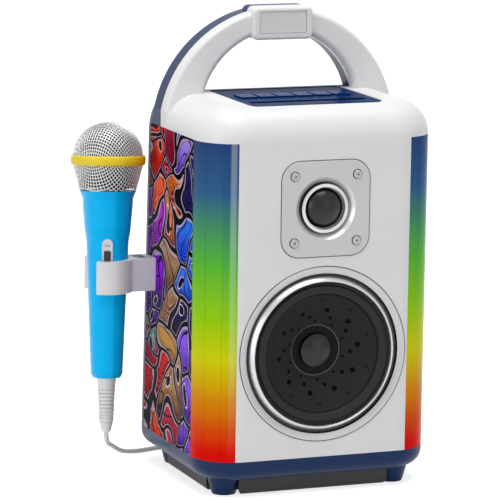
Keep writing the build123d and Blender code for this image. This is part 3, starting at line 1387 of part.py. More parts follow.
FOAM_R = BALL_R - MESH - FOAM_GAP
foam_low = -GRILLE_END + 2
foam_low_r = COLLAR_R - MESH - FOAM_GAP
capsule_top = -GRILLE_END + CAPSULE_LONG
with BuildPart() as mic_foam:
    with BuildSketch(mic_side):
        with BuildLine():
            Polyline(
                (CAPSULE_R, capsule_top),
                (CAPSULE_R, foam_low),
                (foam_low_r, foam_low),
                (FOAM_R, -BAND_HALF),
                (FOAM_R, BALL_UP),
            )
            CenterArc((0, BALL_UP), FOAM_R, 0, 90)
            Polyline((0, BALL_UP + FOAM_R), (0, capsule_top), (CAPSULE_R, capsule_top))
        make_face()
    revolve(axis=mic_axis)
write(mic_foam.part, "mic_foam")

mic_ring_of(
    "mic_capsule",
    (
        (0, -GRILLE_END),
        (CAPSULE_R - 2, -GRILLE_END),
        (CAPSULE_R - 2, -GRILLE_END / 2),
        (CAPSULE_R, -GRILLE_END / 2),
        (CAPSULE_R, capsule_top),
        (0, capsule_top),
    ),
)

BOOT_TOP_R = 7.2
BOOT_LOW_R = 5.3
BOOT_NECK = 4.5
BOOT_MID = 187.0
GROOVE_FIRST = 165.0
GROOVE_PITCH = 2.8
GROOVE_WIDE = 0.9
GROOVE_DEEP = 0.45
GROOVE_COUNT = 8


def boot_r(distance):
    """Radius of the strain relief at a distance below the band."""
    share = (distance - BODY_END - BOOT_NECK) / (BOOT_MID - BODY_END - BOOT_NECK)
    return BOOT_NECK_R + (BOOT_LOW_R - BOOT_NECK_R) * share


with BuildPart() as mic_boot:
    with BuildSketch(mic_side):
        with BuildLine():
            Polyline(
                (0, -BODY_END),
                (BOOT_TOP_R, -BODY_END),
                (BOOT_NECK_R, -BODY_END - BOOT_NECK),
                (BOOT_LOW_R, -BOOT_MID),
                (2 * CORD_R - 0.2, -BOOT_END),
                (0, -BOOT_END),
                close=True,
            )
        make_face()
    revolve(axis=mic_axis)
    # grooves that let the strain relief bend
    grooves = [GROOVE_FIRST + GROOVE_PITCH * number for number in range(GROOVE_COUNT)]
    with BuildSketch(mic_side):
        with Locations([(boot_r(distance), -distance) for distance in grooves]):
            Rectangle(2 * GROOVE_DEEP, GROOVE_WIDE)
    revolve(axis=mic_axis, mode=Mode.SUBTRACT)
write(mic_boot.part, "mic_boot")

# ---------------------------------------------------------------- microphone clip
clip_low = Plane.XY.offset(CLIP_Z - CLIP_HEIGHT / 2)
with BuildPart() as mic_holder:
    with BuildSketch(clip_low):
        with Locations((-HALF, behind(CLIP_DEPTH))):
            Rectangle(-MIC_X - HALF, 2 * CLIP_BASE_HALF, align=(Align.MAX, Align.CENTER))
        with Locations((MIC_X, behind(MIC_DEPTH))):
            Circle(CLIP_R)
    extrude(amount=CLIP_HEIGHT)
    # pocket in the arm, closed towards the cabinet and the ring
    pocket_x = -HALF - CLIP_WALL - WALL
    pocket_end = MIC_X + CLIP_R + CLIP_WALL / 2
    with BuildSketch(Plane.XY.offset(CLIP_Z + CLIP_HEIGHT / 2)):
        with Locations((pocket_x, behind(CLIP_DEPTH))):
            Rectangle(pocket_x - pocket_end, 2 * (CLIP_BASE_HALF - CLIP_WALL), align=(Align.MAX, Align.CENTER))
    extrude(amount=CLIP_WALL - CLIP_HEIGHT, mode=Mode.SUBTRACT)
    with BuildSketch(clip_low.offset(CLIP_WALL / 2)):
        with Locations(((pocket_x + pocket_end) / 2, behind(CLIP_DEPTH))):
            Rectangle(WEB, 2 * CLIP_BASE_HALF - CLIP_WALL)
    extrude(amount=CLIP_HEIGHT - CLIP_WALL)
    # tapered bore that follows the microphone's grip
    high = CLIP_HEIGHT
    with BuildSketch(mic_side):
        with BuildLine():
            Polyline(
                (0, high - RING_UP),
                (mic_r(RING_UP - high) + CLIP_FIT, high - RING_UP),
                (mic_r(RING_UP + high) + CLIP_FIT, -high - RING_UP),
                (0, -high - RING_UP),
                close=True,
            )
        make_face()
    revolve(axis=mic_axis, mode=Mode.SUBTRACT)
    # channel that the microphone's switch passes along
    with BuildSketch(Plane(origin=mic_middle - mic_up * high, x_dir=mic_across, z_dir=mic_up)):
        Rectangle(CHANNEL_WIDTH, mic_r(RING_UP) + CHANNEL_DEEP, align=(Align.CENTER, Align.MAX))
    extrude(amount=2 * high, mode=Mode.SUBTRACT)
    # mouth on the side away from the cabinet
    reach = 2 * CLIP_R
    half_mouth = reach * tan(radians(CLIP_MOUTH))
    with BuildSketch(clip_low):
        with BuildLine():
            Polyline(
                (MIC_X, behind(MIC_DEPTH)),
                (MIC_X - reach, behind(MIC_DEPTH) + half_mouth),
                (MIC_X - reach, behind(MIC_DEPTH) - half_mouth),
                close=True,
            )
        make_face()
    extrude(amount=CLIP_HEIGHT, mode=Mode.SUBTRACT)
    with BuildSketch(Plane.YZ.offset(-HALF)):
        with Locations(clip_screws):
            Circle(SCREW_R + FIT / 4)
    extrude(amount=-CLIP_WALL - WALL / 2, mode=Mode.SUBTRACT)
write(mic_holder.part, "mic_holder")

with BuildPart() as holder_screws:
    inside = Plane.YZ.offset(WALL - HALF)
    with BuildSketch(inside):
        with Locations(clip_screws):
            Circle(SCREW_HEAD_R)
    extrude(amount=2)
    with BuildSketch(inside):
        with Locations(clip_screws):
            Circle(SCREW_R)
    extrude(amount=-WALL - CLIP_WALL - 1)
write(holder_screws.part, "holder_screws")

# ---------------------------------------------------------------- microphone cord
boot_tip = mic_middle + mic_up * (RING_UP - BOOT_END)
cord_points = (
    boot_tip,
    boot_tip - mic_up * 8,
    Vector(-117.5, 39.5, 18.0),
    Vector(-108.5, 53.0, 11.5),
    Vector(-98.5, 68.5, 5.5),
    Vector(-85.5, 80.5, CORD_R),
    Vector(-62.5, 87.8, CORD_R),
    Vector(-41.0, 87.4, CORD_R + 1.5),
)
cord_radii = []
for before, corner, after in zip(cord_points, cord_points[1:], cord_points[2:]):
    run_in = corner - before
    run_out = after - corner
    half_turn = radians(run_in.get_angle(run_out)) / 2
    cord_radii.append(0.45 * min(run_in.length, run_out.length) / tan(half_turn))
print("cord radii", [round(radius, 1) for radius in cord_radii])

with BuildPart() as mic_cord:
    with BuildLine() as route:
        FilletPolyline(*cord_points, radius=cord_radii)
    with BuildSketch(Plane(origin=boot_tip, z_dir=mic_up * -1)):
        Circle(CORD_R)
    sweep(path=route.line)
cord_length = route.wires()[0].length
print("cord length", round(cord_length, 1), "volume", round(mic_cord.part.volume, 1))
print("section by length", round(pi * CORD_R**2 * cord_length, 1))
write(mic_cord.part, "mic_cord")

coil_axis = Axis((COIL_X, COIL_Y, 0), (0, 0, 1))
coil_mid = TIE_THICK + COIL_HEIGHT / 2
coil_side = Plane(origin=(COIL_X, COIL_Y, coil_mid), x_dir=(1, 0, 0), z_dir=(0, -1, 0))
with BuildPart() as mic_cord_coil:
    with BuildSketch(coil_side):
        with Locations((COIL_MEAN_R, 0)):
            Ellipse(COIL_BUNDLE / 2, COIL_HEIGHT / 2)
    revolve(axis=coil_axis)
write(mic_cord_coil.part, "mic_cord_coil")

tie_arc = degrees(TIE_WIDTH / COIL_MEAN_R)
with BuildPart() as cord_tie:
    with BuildSketch(coil_side):
        with Locations((COIL_MEAN_R, 0)):
            Ellipse(COIL_BUNDLE / 2 + TIE_THICK, COIL_HEIGHT / 2 + TIE_THICK)
            Ellipse(COIL_BUNDLE / 2, COIL_HEIGHT / 2, mode=Mode.SUBTRACT)
    revolve(axis=coil_axis, revolution_arc=tie_arc)
write(cord_tie.part.rotate(coil_axis, TIE_TURN), "cord_tie")

plug_side = Plane(origin=(PLUG_X, PLUG_Y, PLUG_R), x_dir=(0, 1, 0), z_dir=(0, 0, 1))
plug_axis = Axis((PLUG_X, PLUG_Y, PLUG_R), (1, 0, 0))
with BuildPart() as mic_plug:
    with BuildSketch(plug_side):
        with BuildLine():
            Polyline(
                (0, 0),
                (1.5 * CORD_R, 0),
                (PLUG_R - 1.6, -PLUG_BOOT),
                (PLUG_R, -PLUG_BOOT - 1),
                (PLUG_R, -PLUG_BOOT - PLUG_LENGTH),
                (0, -PLUG_BOOT - PLUG_LENGTH),
                close=True,
            )
        make_face()
    revolve(axis=plug_axis)
write(mic_plug.part, "mic_plug")

plug_face = -PLUG_BOOT - PLUG_LENGTH
with BuildPart() as mic_plug_tip:
    with BuildSketch(plug_side):
        with BuildLine():
            Polyline(
                (0, plug_face),
                (TIP_R, plug_face),
                (TIP_R, plug_face - JACK_SHAFT + 5),
                (TIP_R - 0.8, plug_face - JACK_SHAFT + 4),
                (TIP_R - 0.2, plug_face - JACK_SHAFT + 2.5),
                (0.5, plug_face - JACK_SHAFT),
                (0, plug_face - JACK_SHAFT),
                close=True,
            )
        make_face()
    revolve(axis=plug_axis)
write(mic_plug_tip.part, "mic_plug_tip")
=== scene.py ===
"""Finishes, trim, cord, studio and camera for a karaoke speaker with light bars and a clipped-on mic."""

from __future__ import annotations

import json
import logging
import math
from dataclasses import dataclass
from enum import Enum
from typing import Any, Callable, Iterable, Optional, Sequence

import bmesh
import bpy
from mathutils import Matrix, Vector

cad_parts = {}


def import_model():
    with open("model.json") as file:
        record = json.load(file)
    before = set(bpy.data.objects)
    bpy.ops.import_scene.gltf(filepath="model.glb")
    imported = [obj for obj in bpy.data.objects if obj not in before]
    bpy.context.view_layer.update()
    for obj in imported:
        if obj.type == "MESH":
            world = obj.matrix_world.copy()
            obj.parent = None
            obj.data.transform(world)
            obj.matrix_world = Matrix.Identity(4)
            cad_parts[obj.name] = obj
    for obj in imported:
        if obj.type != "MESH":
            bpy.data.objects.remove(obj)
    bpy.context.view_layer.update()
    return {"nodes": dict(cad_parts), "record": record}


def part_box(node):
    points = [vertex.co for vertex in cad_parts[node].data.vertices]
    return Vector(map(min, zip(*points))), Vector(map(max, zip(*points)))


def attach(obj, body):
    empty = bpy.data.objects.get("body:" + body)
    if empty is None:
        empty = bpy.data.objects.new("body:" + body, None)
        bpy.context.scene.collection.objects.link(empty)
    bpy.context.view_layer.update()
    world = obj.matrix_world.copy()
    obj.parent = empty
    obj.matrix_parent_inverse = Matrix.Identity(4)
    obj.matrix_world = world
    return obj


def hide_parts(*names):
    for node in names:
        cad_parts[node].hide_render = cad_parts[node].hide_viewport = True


LOG = logging.getLogger("karaoke_speaker")
MM = 0.001
METRE = 1000.0  # in millimetres
Colour = tuple[float, float, float]
Point = tuple[float, float, float]
Outline = Sequence[tuple[float, float]]

# the frame's own places, in millimetres
FACE = -73.25
TWEETER_UP = 204.4
WOOFER_UP = 100.9
BAR_FOOT = 27.0
BAR_TOP = 252.0


# ---------------------------------------------------------------- shader graph
class Signal:
    """A number that varies over a surface, with arithmetic that adds Math nodes."""

    def __init__(self, graph: "Tree", socket: Any) -> None:
        """Wrap a node's output socket."""
        self.graph = graph
        self.socket = socket

    def _math(self, operation: str, *values: Any, clamp: bool = False) -> "Signal":
        """Add a Math node.

        Args:
            operation: Blender's name of the operation.
            values: the operands, signals or plain numbers.
            clamp: whether the result is held between 0 and 1.

        Returns:
            The node's result as a signal.
        """
        settings = {"operation": operation, "use_clamp": clamp}
        node = self.graph.node("ShaderNodeMath", settings, dict(enumerate(values)))
        return Signal(self.graph, node.outputs[0])

    def __add__(self, other: Any) -> "Signal":
        """Sum."""
        return self._math("ADD", self, other)

    __radd__ = __add__

    def __sub__(self, other: Any) -> "Signal":
        """Difference."""
        return self._math("SUBTRACT", self, other)

    def __rsub__(self, other: Any) -> "Signal":
        """Difference from a number."""
        return self._math("SUBTRACT", other, self)

    def __mul__(self, other: Any) -> "Signal":
        """Product."""
        return self._math("MULTIPLY", self, other)

    __rmul__ = __mul__

    def __truediv__(self, other: Any) -> "Signal":
        """Quotient."""
        return self._math("DIVIDE", self, other)

    def __gt__(self, other: Any) -> "Signal":
        """1 where this is above the other, else 0."""
        return self._math("GREATER_THAN", self, other)

    def __lt__(self, other: Any) -> "Signal":
        """1 where this is below the other, else 0."""
        return self._math("LESS_THAN", self, other)

    def step(self, low: float, high: float) -> "Signal":
        """Rise from 0 at low to 1 at high, held at both ends."""
        return self._math("MULTIPLY", self - low, 1.0 / (high - low), clamp=True)

    def band(self, start: float, full: float, last: float, end: float) -> "Signal":
        """Rise from start to full, stay at 1, and fall from last to end."""
        return self.step(start, full) * self.step(end, last)

    def line(self, at: Any, near: float, far: float) -> "Signal":
        """1 within near of a place, fading to 0 at far from it."""
        return 1.0 - (self - at).apply("ABSOLUTE").step(near, far)

    def sway(self, spread: float) -> "Signal":
        """This 0 to 1 signal as a shift by up to half a spread either way."""
        return (self - 0.5) * spread

    def wave(self, pitch: float) -> "Signal":
        """A sine between -1 and 1 that repeats at a pitch."""
        return (self * (2 * math.pi / pitch)).apply("SINE")

    def apply(self, operation: str, *values: Any) -> "Signal":
        """Any other Math operation on this signal."""
        return self._math(operation, self, *values)


class Tree:
    """A node tree, with one method that adds any node."""

    def __init__(self, tree: bpy.types.NodeTree) -> None:
        """Take over a node tree and empty it."""
        self.tree = tree
        self.tree.nodes.clear()

    def node(
        self, kind: str, settings: Optional[dict[str, Any]] = None, inputs: Optional[dict[Any, Any]] = None
    ) -> Any:
        """Add a node.

        Args:
            kind: the node's type.
            settings: its options; "stops" holds a colour ramp's (place, colour) pairs.
            inputs: values, signals or sockets by input name or number.

        Returns:
            The new node.
        """
        made = self.tree.nodes.new(kind)
        for name, value in (settings or {}).items():
            if name == "stops":
                self.ramp(made.color_ramp, value)
            else:
                setattr(made, name, value)
        for name, value in (inputs or {}).items():
            self.set(made.inputs[name], value)
        return made

    def ramp(self, ramp: Any, stops: Sequence[tuple[float, Colour]]) -> None:
        """Give a colour ramp its stops."""
        while len(ramp.elements) < len(stops):
            ramp.elements.new(1.0)
        for element, (place, colour) in zip(ramp.elements, stops):
            element.position = place
            element.color = (*colour, 1.0)

    def set(self, socket: Any, value: Any) -> None:
        """Link a signal or socket to an input, or give it a plain value."""
        if isinstance(value, Signal):
            value = value.socket
        if isinstance(value, bpy.types.NodeSocket):
            self.tree.links.new(value, socket)
        elif socket.type == "RGBA" and len(value) == 3:
            socket.default_value = (*value, 1.0)
        else:
            socket.default_value = value

    def seen(self) -> Signal:
        """1 for rays that show the surface itself: from the camera, mirrored or passed through."""
        rays = self.node("ShaderNodeLightPath")
        seen = Signal(self, rays.outputs["Is Camera Ray"])
        for kind in ("Is Glossy Ray", "Is Transmission Ray"):
            seen = seen.apply("MAXIMUM", rays.outputs[kind])
        return seen


class Graph(Tree):
    """A material's node tree around one Principled shader."""

    def __init__(self, name: str) -> None:
        """Start a material with a Principled shader."""
        self.material = bpy.data.materials.new(name)
        self.material.use_nodes = True
        super().__init__(self.material.node_tree)
        self.shader = self.node("ShaderNodeBsdfPrincipled")
        self.output = self.node("ShaderNodeOutputMaterial", inputs={"Surface": self.shader.outputs[0]})

    def paint(self, **inputs: Any) -> None:
        """Set the Principled shader's inputs, underscores for spaces."""
        for name, value in inputs.items():
            self.set(self.shader.inputs[name.replace("_", " ")], value)

    def place(self, shift: Sequence[float] = (0, 0, 0), scale: Sequence[float] = (1, 1, 1)) -> Any:
        """Object coordinates, scaled and then moved by a Mapping node."""
        coordinates = self.node("ShaderNodeTexCoord").outputs["Object"]
        inputs = {"Vector": coordinates, "Location": shift, "Scale": scale}
        return self.node("ShaderNodeMapping", {"vector_type": "POINT"}, inputs).outputs[0]

    def axes(self, vector: Any) -> tuple[Signal, Signal, Signal]:
        """The three numbers of a vector."""
        node = self.node("ShaderNodeSeparateXYZ", inputs={0: vector})
        return tuple(Signal(self, output) for output in node.outputs)

    def millimetres(self) -> tuple[Signal, Signal, Signal]:
        """A place's distances to the right, to the back and upwards, in millimetres."""
        return self.axes(self.place(scale=(METRE, METRE, METRE)))

    def around(self, height: float) -> tuple[Signal, Signal, Signal]:
        """A place about an axis that runs front to back.

        Args:
            height: the axis's height in millimetres.

        Returns:
            The distance to its right, the distance above it, and the distance from it.
        """
        across, _, up = self.axes(self.place(shift=(0, 0, -height), scale=(METRE, METRE, METRE)))
        return across, up, (across * across + up * up).apply("SQRT")

    def along(self, middle: Point, direction: Point) -> Signal:
        """Distance in millimetres from a point, measured along a direction."""
        spot = self.place(shift=tuple(-v * MM for v in middle))
        return Signal(self, self.vector("DOT_PRODUCT", spot, direction)) * METRE

    def flat(self, across: Signal, up: Signal) -> Any:
        """A place on a flat pattern."""
        return self.node("ShaderNodeCombineXYZ", inputs={0: across, 1: up, 2: 0.0}).outputs[0]

    def vector(self, operation: str, first: Any, second: Any) -> Any:
        """The result of a Vector Math node; to SCALE, the second value is the factor."""
        inputs = {0: first, "Scale" if operation == "SCALE" else 1: second}
        node = self.node("ShaderNodeVectorMath", {"operation": operation}, inputs)
        return node.outputs["Value" if operation == "DOT_PRODUCT" else "Vector"]

    def noise(self, vector: Any, scale: float, detail: float = 2.0, rough: float = 0.5) -> Signal:
        """Fractal noise from 0 to 1."""
        inputs = {"Vector": vector, "Scale": scale, "Detail": detail, "Roughness": rough}
        return Signal(self, self.node("ShaderNodeTexNoise", inputs=inputs).outputs[0])

    def cells(self, vector: Any, scale: float, loose: float, feature: str = "F1") -> Any:
        """A flat Voronoi texture's node, its cells as loose as asked."""
        settings = {"voronoi_dimensions": "2D", "feature": feature}
        inputs = {"Vector": vector, "Scale": scale, "Randomness": loose}
        return self.node("ShaderNodeTexVoronoi", settings, inputs)

    def mix(self, factor: Any, low: Any, high: Any) -> Any:
        """Mix two colours."""
        node = self.node("ShaderNodeMix", {"data_type": "RGBA", "blend_type": "MIX"})
        for name, value in ((0, factor), (6, low), (7, high)):
            self.set(node.inputs[name], value)
        return node.outputs[2]

    def tones(self, factor: Any, colour: Colour, low: float, high: float) -> Any:
        """Vary a colour between a darker and a lighter shade of itself."""
        return self.mix(factor, shade(colour, low), shade(colour, high))

    def bump(self, height: Signal, depth: float) -> None:
        """Feed a height to the shader's normal, at a depth in metres."""
        node = self.node("ShaderNodeBump", inputs={"Height": height, "Strength": 1.0, "Distance": depth})
        self.set(self.shader.inputs["Normal"], node.outputs[0])


# ---------------------------------------------------------------- finishes
DULL_INDEX = 1.12  # refractive index of a face that mirrors little


def srgb(red: float, green: float, blue: float) -> Colour:
    """Turn a colour in 0-255 screen values into the linear colour that a shader takes."""
    def linear(value: float) -> float:
        """One channel."""
        share = value / 255.0
        return share / 12.92 if share <= 0.04045 else ((share + 0.055) / 1.055) ** 2.4
    return (linear(red), linear(green), linear(blue))


def shade(colour: Colour, factor: float) -> Colour:
    """Make a colour darker or lighter."""
    return tuple(min(1.0, channel * factor) for channel in colour)


@dataclass(frozen=True)
class Finish:
    """The look of a surface, made into a material of its own name."""

    name: str

    def build(self) -> bpy.types.Material:
        """Make the material."""
        graph = Graph(self.name)
        self.cover(graph)
        return graph.material

    def cover(self, graph: Graph) -> None:
        """Paint the shader; each kind of surface does it in its own way."""
        raise NotImplementedError


@dataclass(frozen=True)
class Moulded(Finish):
    """Moulded plastic or rubber: fine eroded grain, faint cloudiness, and a gloss that handling changes."""

    colour: Colour
    rough: float = 0.36
    grain: float = 2600.0
    relief: float = 0.000012
    cloud: float = 0.03
    gloss: float = 0.5
    index: float = 1.5

    def cover(self, graph: Graph) -> None:
        """Paint the shader."""
        spot = graph.place()
        cloud = graph.noise(spot, 16.0, 4.0)
        wear = graph.noise(spot, 70.0, 5.0, 0.65).step(0.52, 0.78)
        grain = graph.noise(spot, self.grain, 2.0, 0.6)
        body = graph.tones(cloud, self.colour, 1 - self.cloud, 1 + self.cloud)
        graph.paint(Base_Color=graph.mix(wear * 0.3, body, shade(self.colour, 1 - 2 * self.cloud)))
        graph.paint(Specular_IOR_Level=self.gloss, IOR=self.index)
        graph.paint(Roughness=self.rough + cloud.sway(0.1) + wear * 0.06 + grain.sway(0.08))
        graph.bump(grain + cloud * 0.4, self.relief)


@dataclass(frozen=True)
class Steel(Finish):
    """Plated or bare metal, brushed along one axis, with small scuffs."""

    colour: Colour
    rough: float = 0.3
    along: Sequence[float] = (40.0, 2400.0, 2400.0)
    relief: float = 0.000008
    scuff: float = 0.25
    metal: float = 1.0

    def cover(self, graph: Graph) -> None:
        """Paint the shader."""
        hair = graph.noise(graph.place(scale=self.along), 1.0, 3.0, 0.6)
        scuff = graph.noise(graph.place(), 220.0, 6.0, 0.7).step(0.58, 0.72)
        cloud = graph.noise(graph.place(), 30.0, 3.0)
        tone = graph.tones(hair, self.colour, 0.9, 1.06)
        tone = graph.mix(scuff * self.scuff, tone, shade(self.colour, 0.6))
        graph.paint(Base_Color=tone, Metallic=self.metal)
        graph.paint(Roughness=self.rough + hair.sway(0.14) + scuff * 0.12 + cloud.sway(0.06))
        graph.bump(hair - scuff * 0.4, self.relief)


@dataclass(frozen=True)
class Turned(Finish):
    """Metal turned on a lathe about an axis that runs front to back: fine rings and a bright face."""

    colour: Colour
    height: float
    rough: float = 0.14
    pitch: float = 0.35
    relief: float = 0.000006
    metal: float = 1.0

    def cover(self, graph: Graph) -> None:
        """Paint the shader."""
        _, _, radius = graph.around(self.height)
        rings = radius.wave(self.pitch)
        scuff = graph.noise(graph.place(), 300.0, 6.0, 0.7).step(0.6, 0.75)
        tone = graph.mix(scuff * 0.3, self.colour, shade(self.colour, 0.7))
        graph.paint(Base_Color=tone, Metallic=self.metal)
        graph.paint(Roughness=self.rough + rings * 0.03 + scuff * 0.15)
        graph.bump(rings * 0.5 + graph.noise(graph.place(), 900.0) * 0.3, self.relief)


@dataclass(frozen=True)
class SpeakerPlate(Finish):
    """Satin silver paint round a well of another tone, which is turned and smoother; on the woofer's bezel
    that tone is near black, painted shade down the groove's inner wall.
    """

    paint: Colour
    bare: Colour
    height: float
    well: float
    metal: float = 0.25
    blend: float = 0.15
    pitch: float = 0.4
    rough: float = 0.34
    relief: float = 0.000007

    def cover(self, graph: Graph) -> None:
        """Paint the shader."""
        _, _, radius = graph.around(self.height)
        # inside the well: the plate's own brighter, smoother tone on the tweeter, and near black painted
        # shade down the groove's inner wall on the woofer's bezel
        bare = 1.0 - radius.step(self.well, self.well + self.blend)
        flake = graph.noise(graph.place(), 5200.0, 2.0, 0.8)
        cloud = graph.noise(graph.place(), 24.0, 3.0)
        paint = graph.tones(flake, self.paint, 0.93, 1.05)
        graph.paint(Base_Color=graph.mix(bare, paint, self.bare), Metallic=self.metal)
        graph.paint(Roughness=self.rough + cloud.sway(0.08) + flake.sway(0.08) - bare * 0.14)
        rings = radius.wave(self.pitch) * bare
        graph.bump(flake * 0.5 + rings * 0.3, self.relief)


@dataclass(frozen=True)
class ConePaper(Finish):
    """Coated loudspeaker cone: fine fibres and groups of printed dots that grow outwards."""

    colour: Colour
    ink: Colour
    height: float
    groups: int = 10
    first: float = -29.2
    lag: float = -10.8
    rings: Sequence[tuple[float, float]] = ((30.0, 1.85), (25.2, 1.4), (21.0, 0.95))
    tick_radius: float = 36.0
    tick_size: float = 1.5
    soft: float = 0.15
    edge: float = 18.0
    edge_tone: Colour = srgb(112, 112, 114)
    stroke: tuple[float, float] = (0.2, 0.45)
    rough: float = 0.46
    relief: float = 0.00004

    def cover(self, graph: Graph) -> None:
        """Paint the shader."""
        across, up, radius = graph.around(self.height)
        angle = up.apply("ARCTAN2", across)
        half = math.pi / self.groups

        def away(ring: float, turn: float) -> Signal:
            """Distance from the nearest of the marks on one ring, all turned by an angle."""
            local = (angle - math.radians(turn)).apply("WRAP", half, -half) * ring
            outward = radius - ring
            return (local * local + outward * outward).apply("SQRT")

        dots = None
        for step, (ring, size) in enumerate(self.rings):
            spots = 1.0 - away(ring, self.first + step * self.lag).step(size - self.soft, size + self.soft)
            dots = spots if dots is None else dots.apply("MAXIMUM", spots)
        tick = away(self.tick_radius, self.first - self.lag).line(self.tick_size, *self.stroke)
        tick = tick * (radius > self.tick_radius)
        fibre = graph.noise(graph.place(scale=(700, 200, 700)), 1.0, 5.0, 0.7)
        tone = graph.tones(fibre, self.colour, 0.8, 1.25)
        tone = graph.mix(dots.apply("MAXIMUM", tick * 0.9), tone, self.ink)
        edge = radius.line(self.edge, *self.stroke)
        graph.paint(Base_Color=graph.mix(edge, tone, self.edge_tone), IOR=DULL_INDEX)
        graph.paint(Roughness=self.rough + fibre.sway(0.16))
        graph.bump(fibre - dots * 0.8, self.relief)


@dataclass(frozen=True)
class Domes(Finish):
    """Polished black domes; the woofer's cap has a darker flange round it."""

    colour: Colour
    flange: Colour
    height: float
    cap: float = 12.2
    flange_end: float = 30.0
    coat: float = 0.55
    dust_tone: Colour = srgb(150, 150, 150)
    rough: float = 0.4
    relief: float = 0.00001

    def cover(self, graph: Graph) -> None:
        """Paint the shader."""
        _, _, radius = graph.around(self.height)
        rim = radius.band(self.cap, self.cap + 0.2, self.flange_end, self.flange_end + 1.0)
        cloud = graph.noise(graph.place(), 60.0, 4.0)
        dust = graph.noise(graph.place(), 1500.0, 2.0).step(0.62, 0.75)
        tone = graph.tones(cloud, self.colour, 0.9, 1.15)
        tone = graph.mix(dust * 0.06, tone, self.dust_tone)
        graph.paint(Base_Color=graph.mix(rim, tone, self.flange), Specular_IOR_Level=0.1)
        graph.paint(Roughness=self.rough + cloud.sway(0.08))
        graph.paint(Coat_Weight=(1.0 - rim) * self.coat, Coat_Roughness=0.22)
        graph.bump(cloud, self.relief)


@dataclass(frozen=True)
class Woven(Finish):
    """Stiffened cloth: two crossed sets of threads."""

    colour: Colour
    pitch: float = 0.7
    rough: float = 0.85
    relief: float = 0.00012

    def cover(self, graph: Graph) -> None:
        """Paint the shader."""
        across, _, up = graph.millimetres()
        over = across.wave(self.pitch) * up.wave(self.pitch) * 0.5 + 0.5
        fluff = graph.noise(graph.place(), 1800.0, 4.0, 0.7)
        # threads are painted darker where they dip under the crossing threads: painted shade
        tone = graph.tones(over, self.colour, 0.6, 1.15)
        graph.paint(Base_Color=graph.mix(fluff * 0.4, tone, shade(self.colour, 0.8)))
        graph.paint(Roughness=self.rough + fluff.sway(0.1))
        graph.bump(over + fluff * 0.3, self.relief)


@dataclass(frozen=True)
class OpenFoam(Finish):
    """Black open-cell foam."""

    colour: Colour
    cell: float = 0.9
    rough: float = 0.95
    relief: float = 0.0003

    def cover(self, graph: Graph) -> None:
        """Paint the shader."""
        spot = graph.place(scale=(METRE / self.cell,) * 3)
        cell = graph.node("ShaderNodeTexVoronoi", inputs={"Vector": spot, "Scale": 1.0})
        depth = Signal(graph, cell.outputs["Distance"]).step(0.1, 0.75)
        # each cell is painted darker towards its middle: painted shade in the pores
        graph.paint(Base_Color=graph.tones(depth, self.colour, 0.4, 1.4))
        graph.paint(Roughness=self.rough - depth * 0.1)
        graph.bump(depth, self.relief)


@dataclass(frozen=True)
class LightBar(Finish):
    """Diffuser lit in bands of colour, blue at the top to red at the foot, with a pale painted highlight down
    its length.
    """

    low: float
    high: float
    glow: float = 0.1
    # the bands' heights, as shares of the bar, and their colours
    bands: tuple[tuple[float, Colour], ...] = (
        (0.0, srgb(216, 2, 0)), (0.035, srgb(214, 14, 0)), (0.1, srgb(210, 72, 2)), (0.2, srgb(210, 136, 2)),
        (0.32, srgb(204, 202, 6)), (0.45, srgb(144, 200, 10)), (0.62, srgb(84, 178, 50)),
        (0.74, srgb(66, 138, 98)), (0.84, srgb(46, 92, 136)), (1.0, srgb(38, 66, 116)),
    )
    # where the flank starts and ends, front to back
    rear: float = -43.25
    face: float = FACE
    # places across the bar where each stripe starts, is full, is last full and ends
    painted_highlight: tuple[float, float, float, float] = (-70.2, -69.2, -66.6, -65.2)
    shadow: tuple[float, float, float, float] = (70.2, 71.0, 73.4, 74.4)
    corner_rib: tuple[float, float, float, float] = (73.8, 74.2, 74.4, 74.8)
    flank_rib: tuple[float, float, float, float] = (0.47, 0.5, 0.5, 0.53)
    rough: float = 0.26
    relief: float = 0.00002

    def cover(self, graph: Graph) -> None:
        """Paint the shader."""
        across, depth, up = graph.millimetres()
        share = (up - self.low) * (1.0 / (self.high - self.low))
        wander = graph.noise(graph.place(), 22.0, 2.0).sway(0.012)
        ramp = graph.node("ShaderNodeValToRGB", {"stops": self.bands}, {"Fac": share + wander})
        aside = across.apply("ABSOLUTE")
        front = depth.step(self.rear, self.face)
        rib = aside.band(*self.corner_rib).apply("MAXIMUM", front.band(*self.flank_rib))
        dark = aside.band(*self.shadow) * share.step(0.35, 0.8)
        edge = front.step(0.06, 0.0)
        cloud = graph.noise(graph.place(scale=(700, 700, 12)), 1.0, 3.0)
        # a pale stripe down the left bar, stronger towards the top: painted highlight
        painted_highlight = across.band(*self.painted_highlight) * share.step(0.0, 0.7)
        tone = graph.mix(painted_highlight * 0.2, ramp.outputs[0], srgb(236, 240, 240))
        tone = graph.mix(dark * 0.2, tone, srgb(0, 70, 120))
        tone = graph.mix(rib * 0.14 + edge * 0.35, tone, srgb(16, 12, 10))
        tone = graph.mix(cloud.sway(0.12), tone, srgb(10, 10, 20))
        graph.paint(Base_Color=tone, Emission_Color=tone, Emission_Strength=self.glow)
        graph.paint(Roughness=self.rough + cloud.sway(0.1), IOR=DULL_INDEX)
        graph.bump(cloud + rib * 0.6, self.relief)


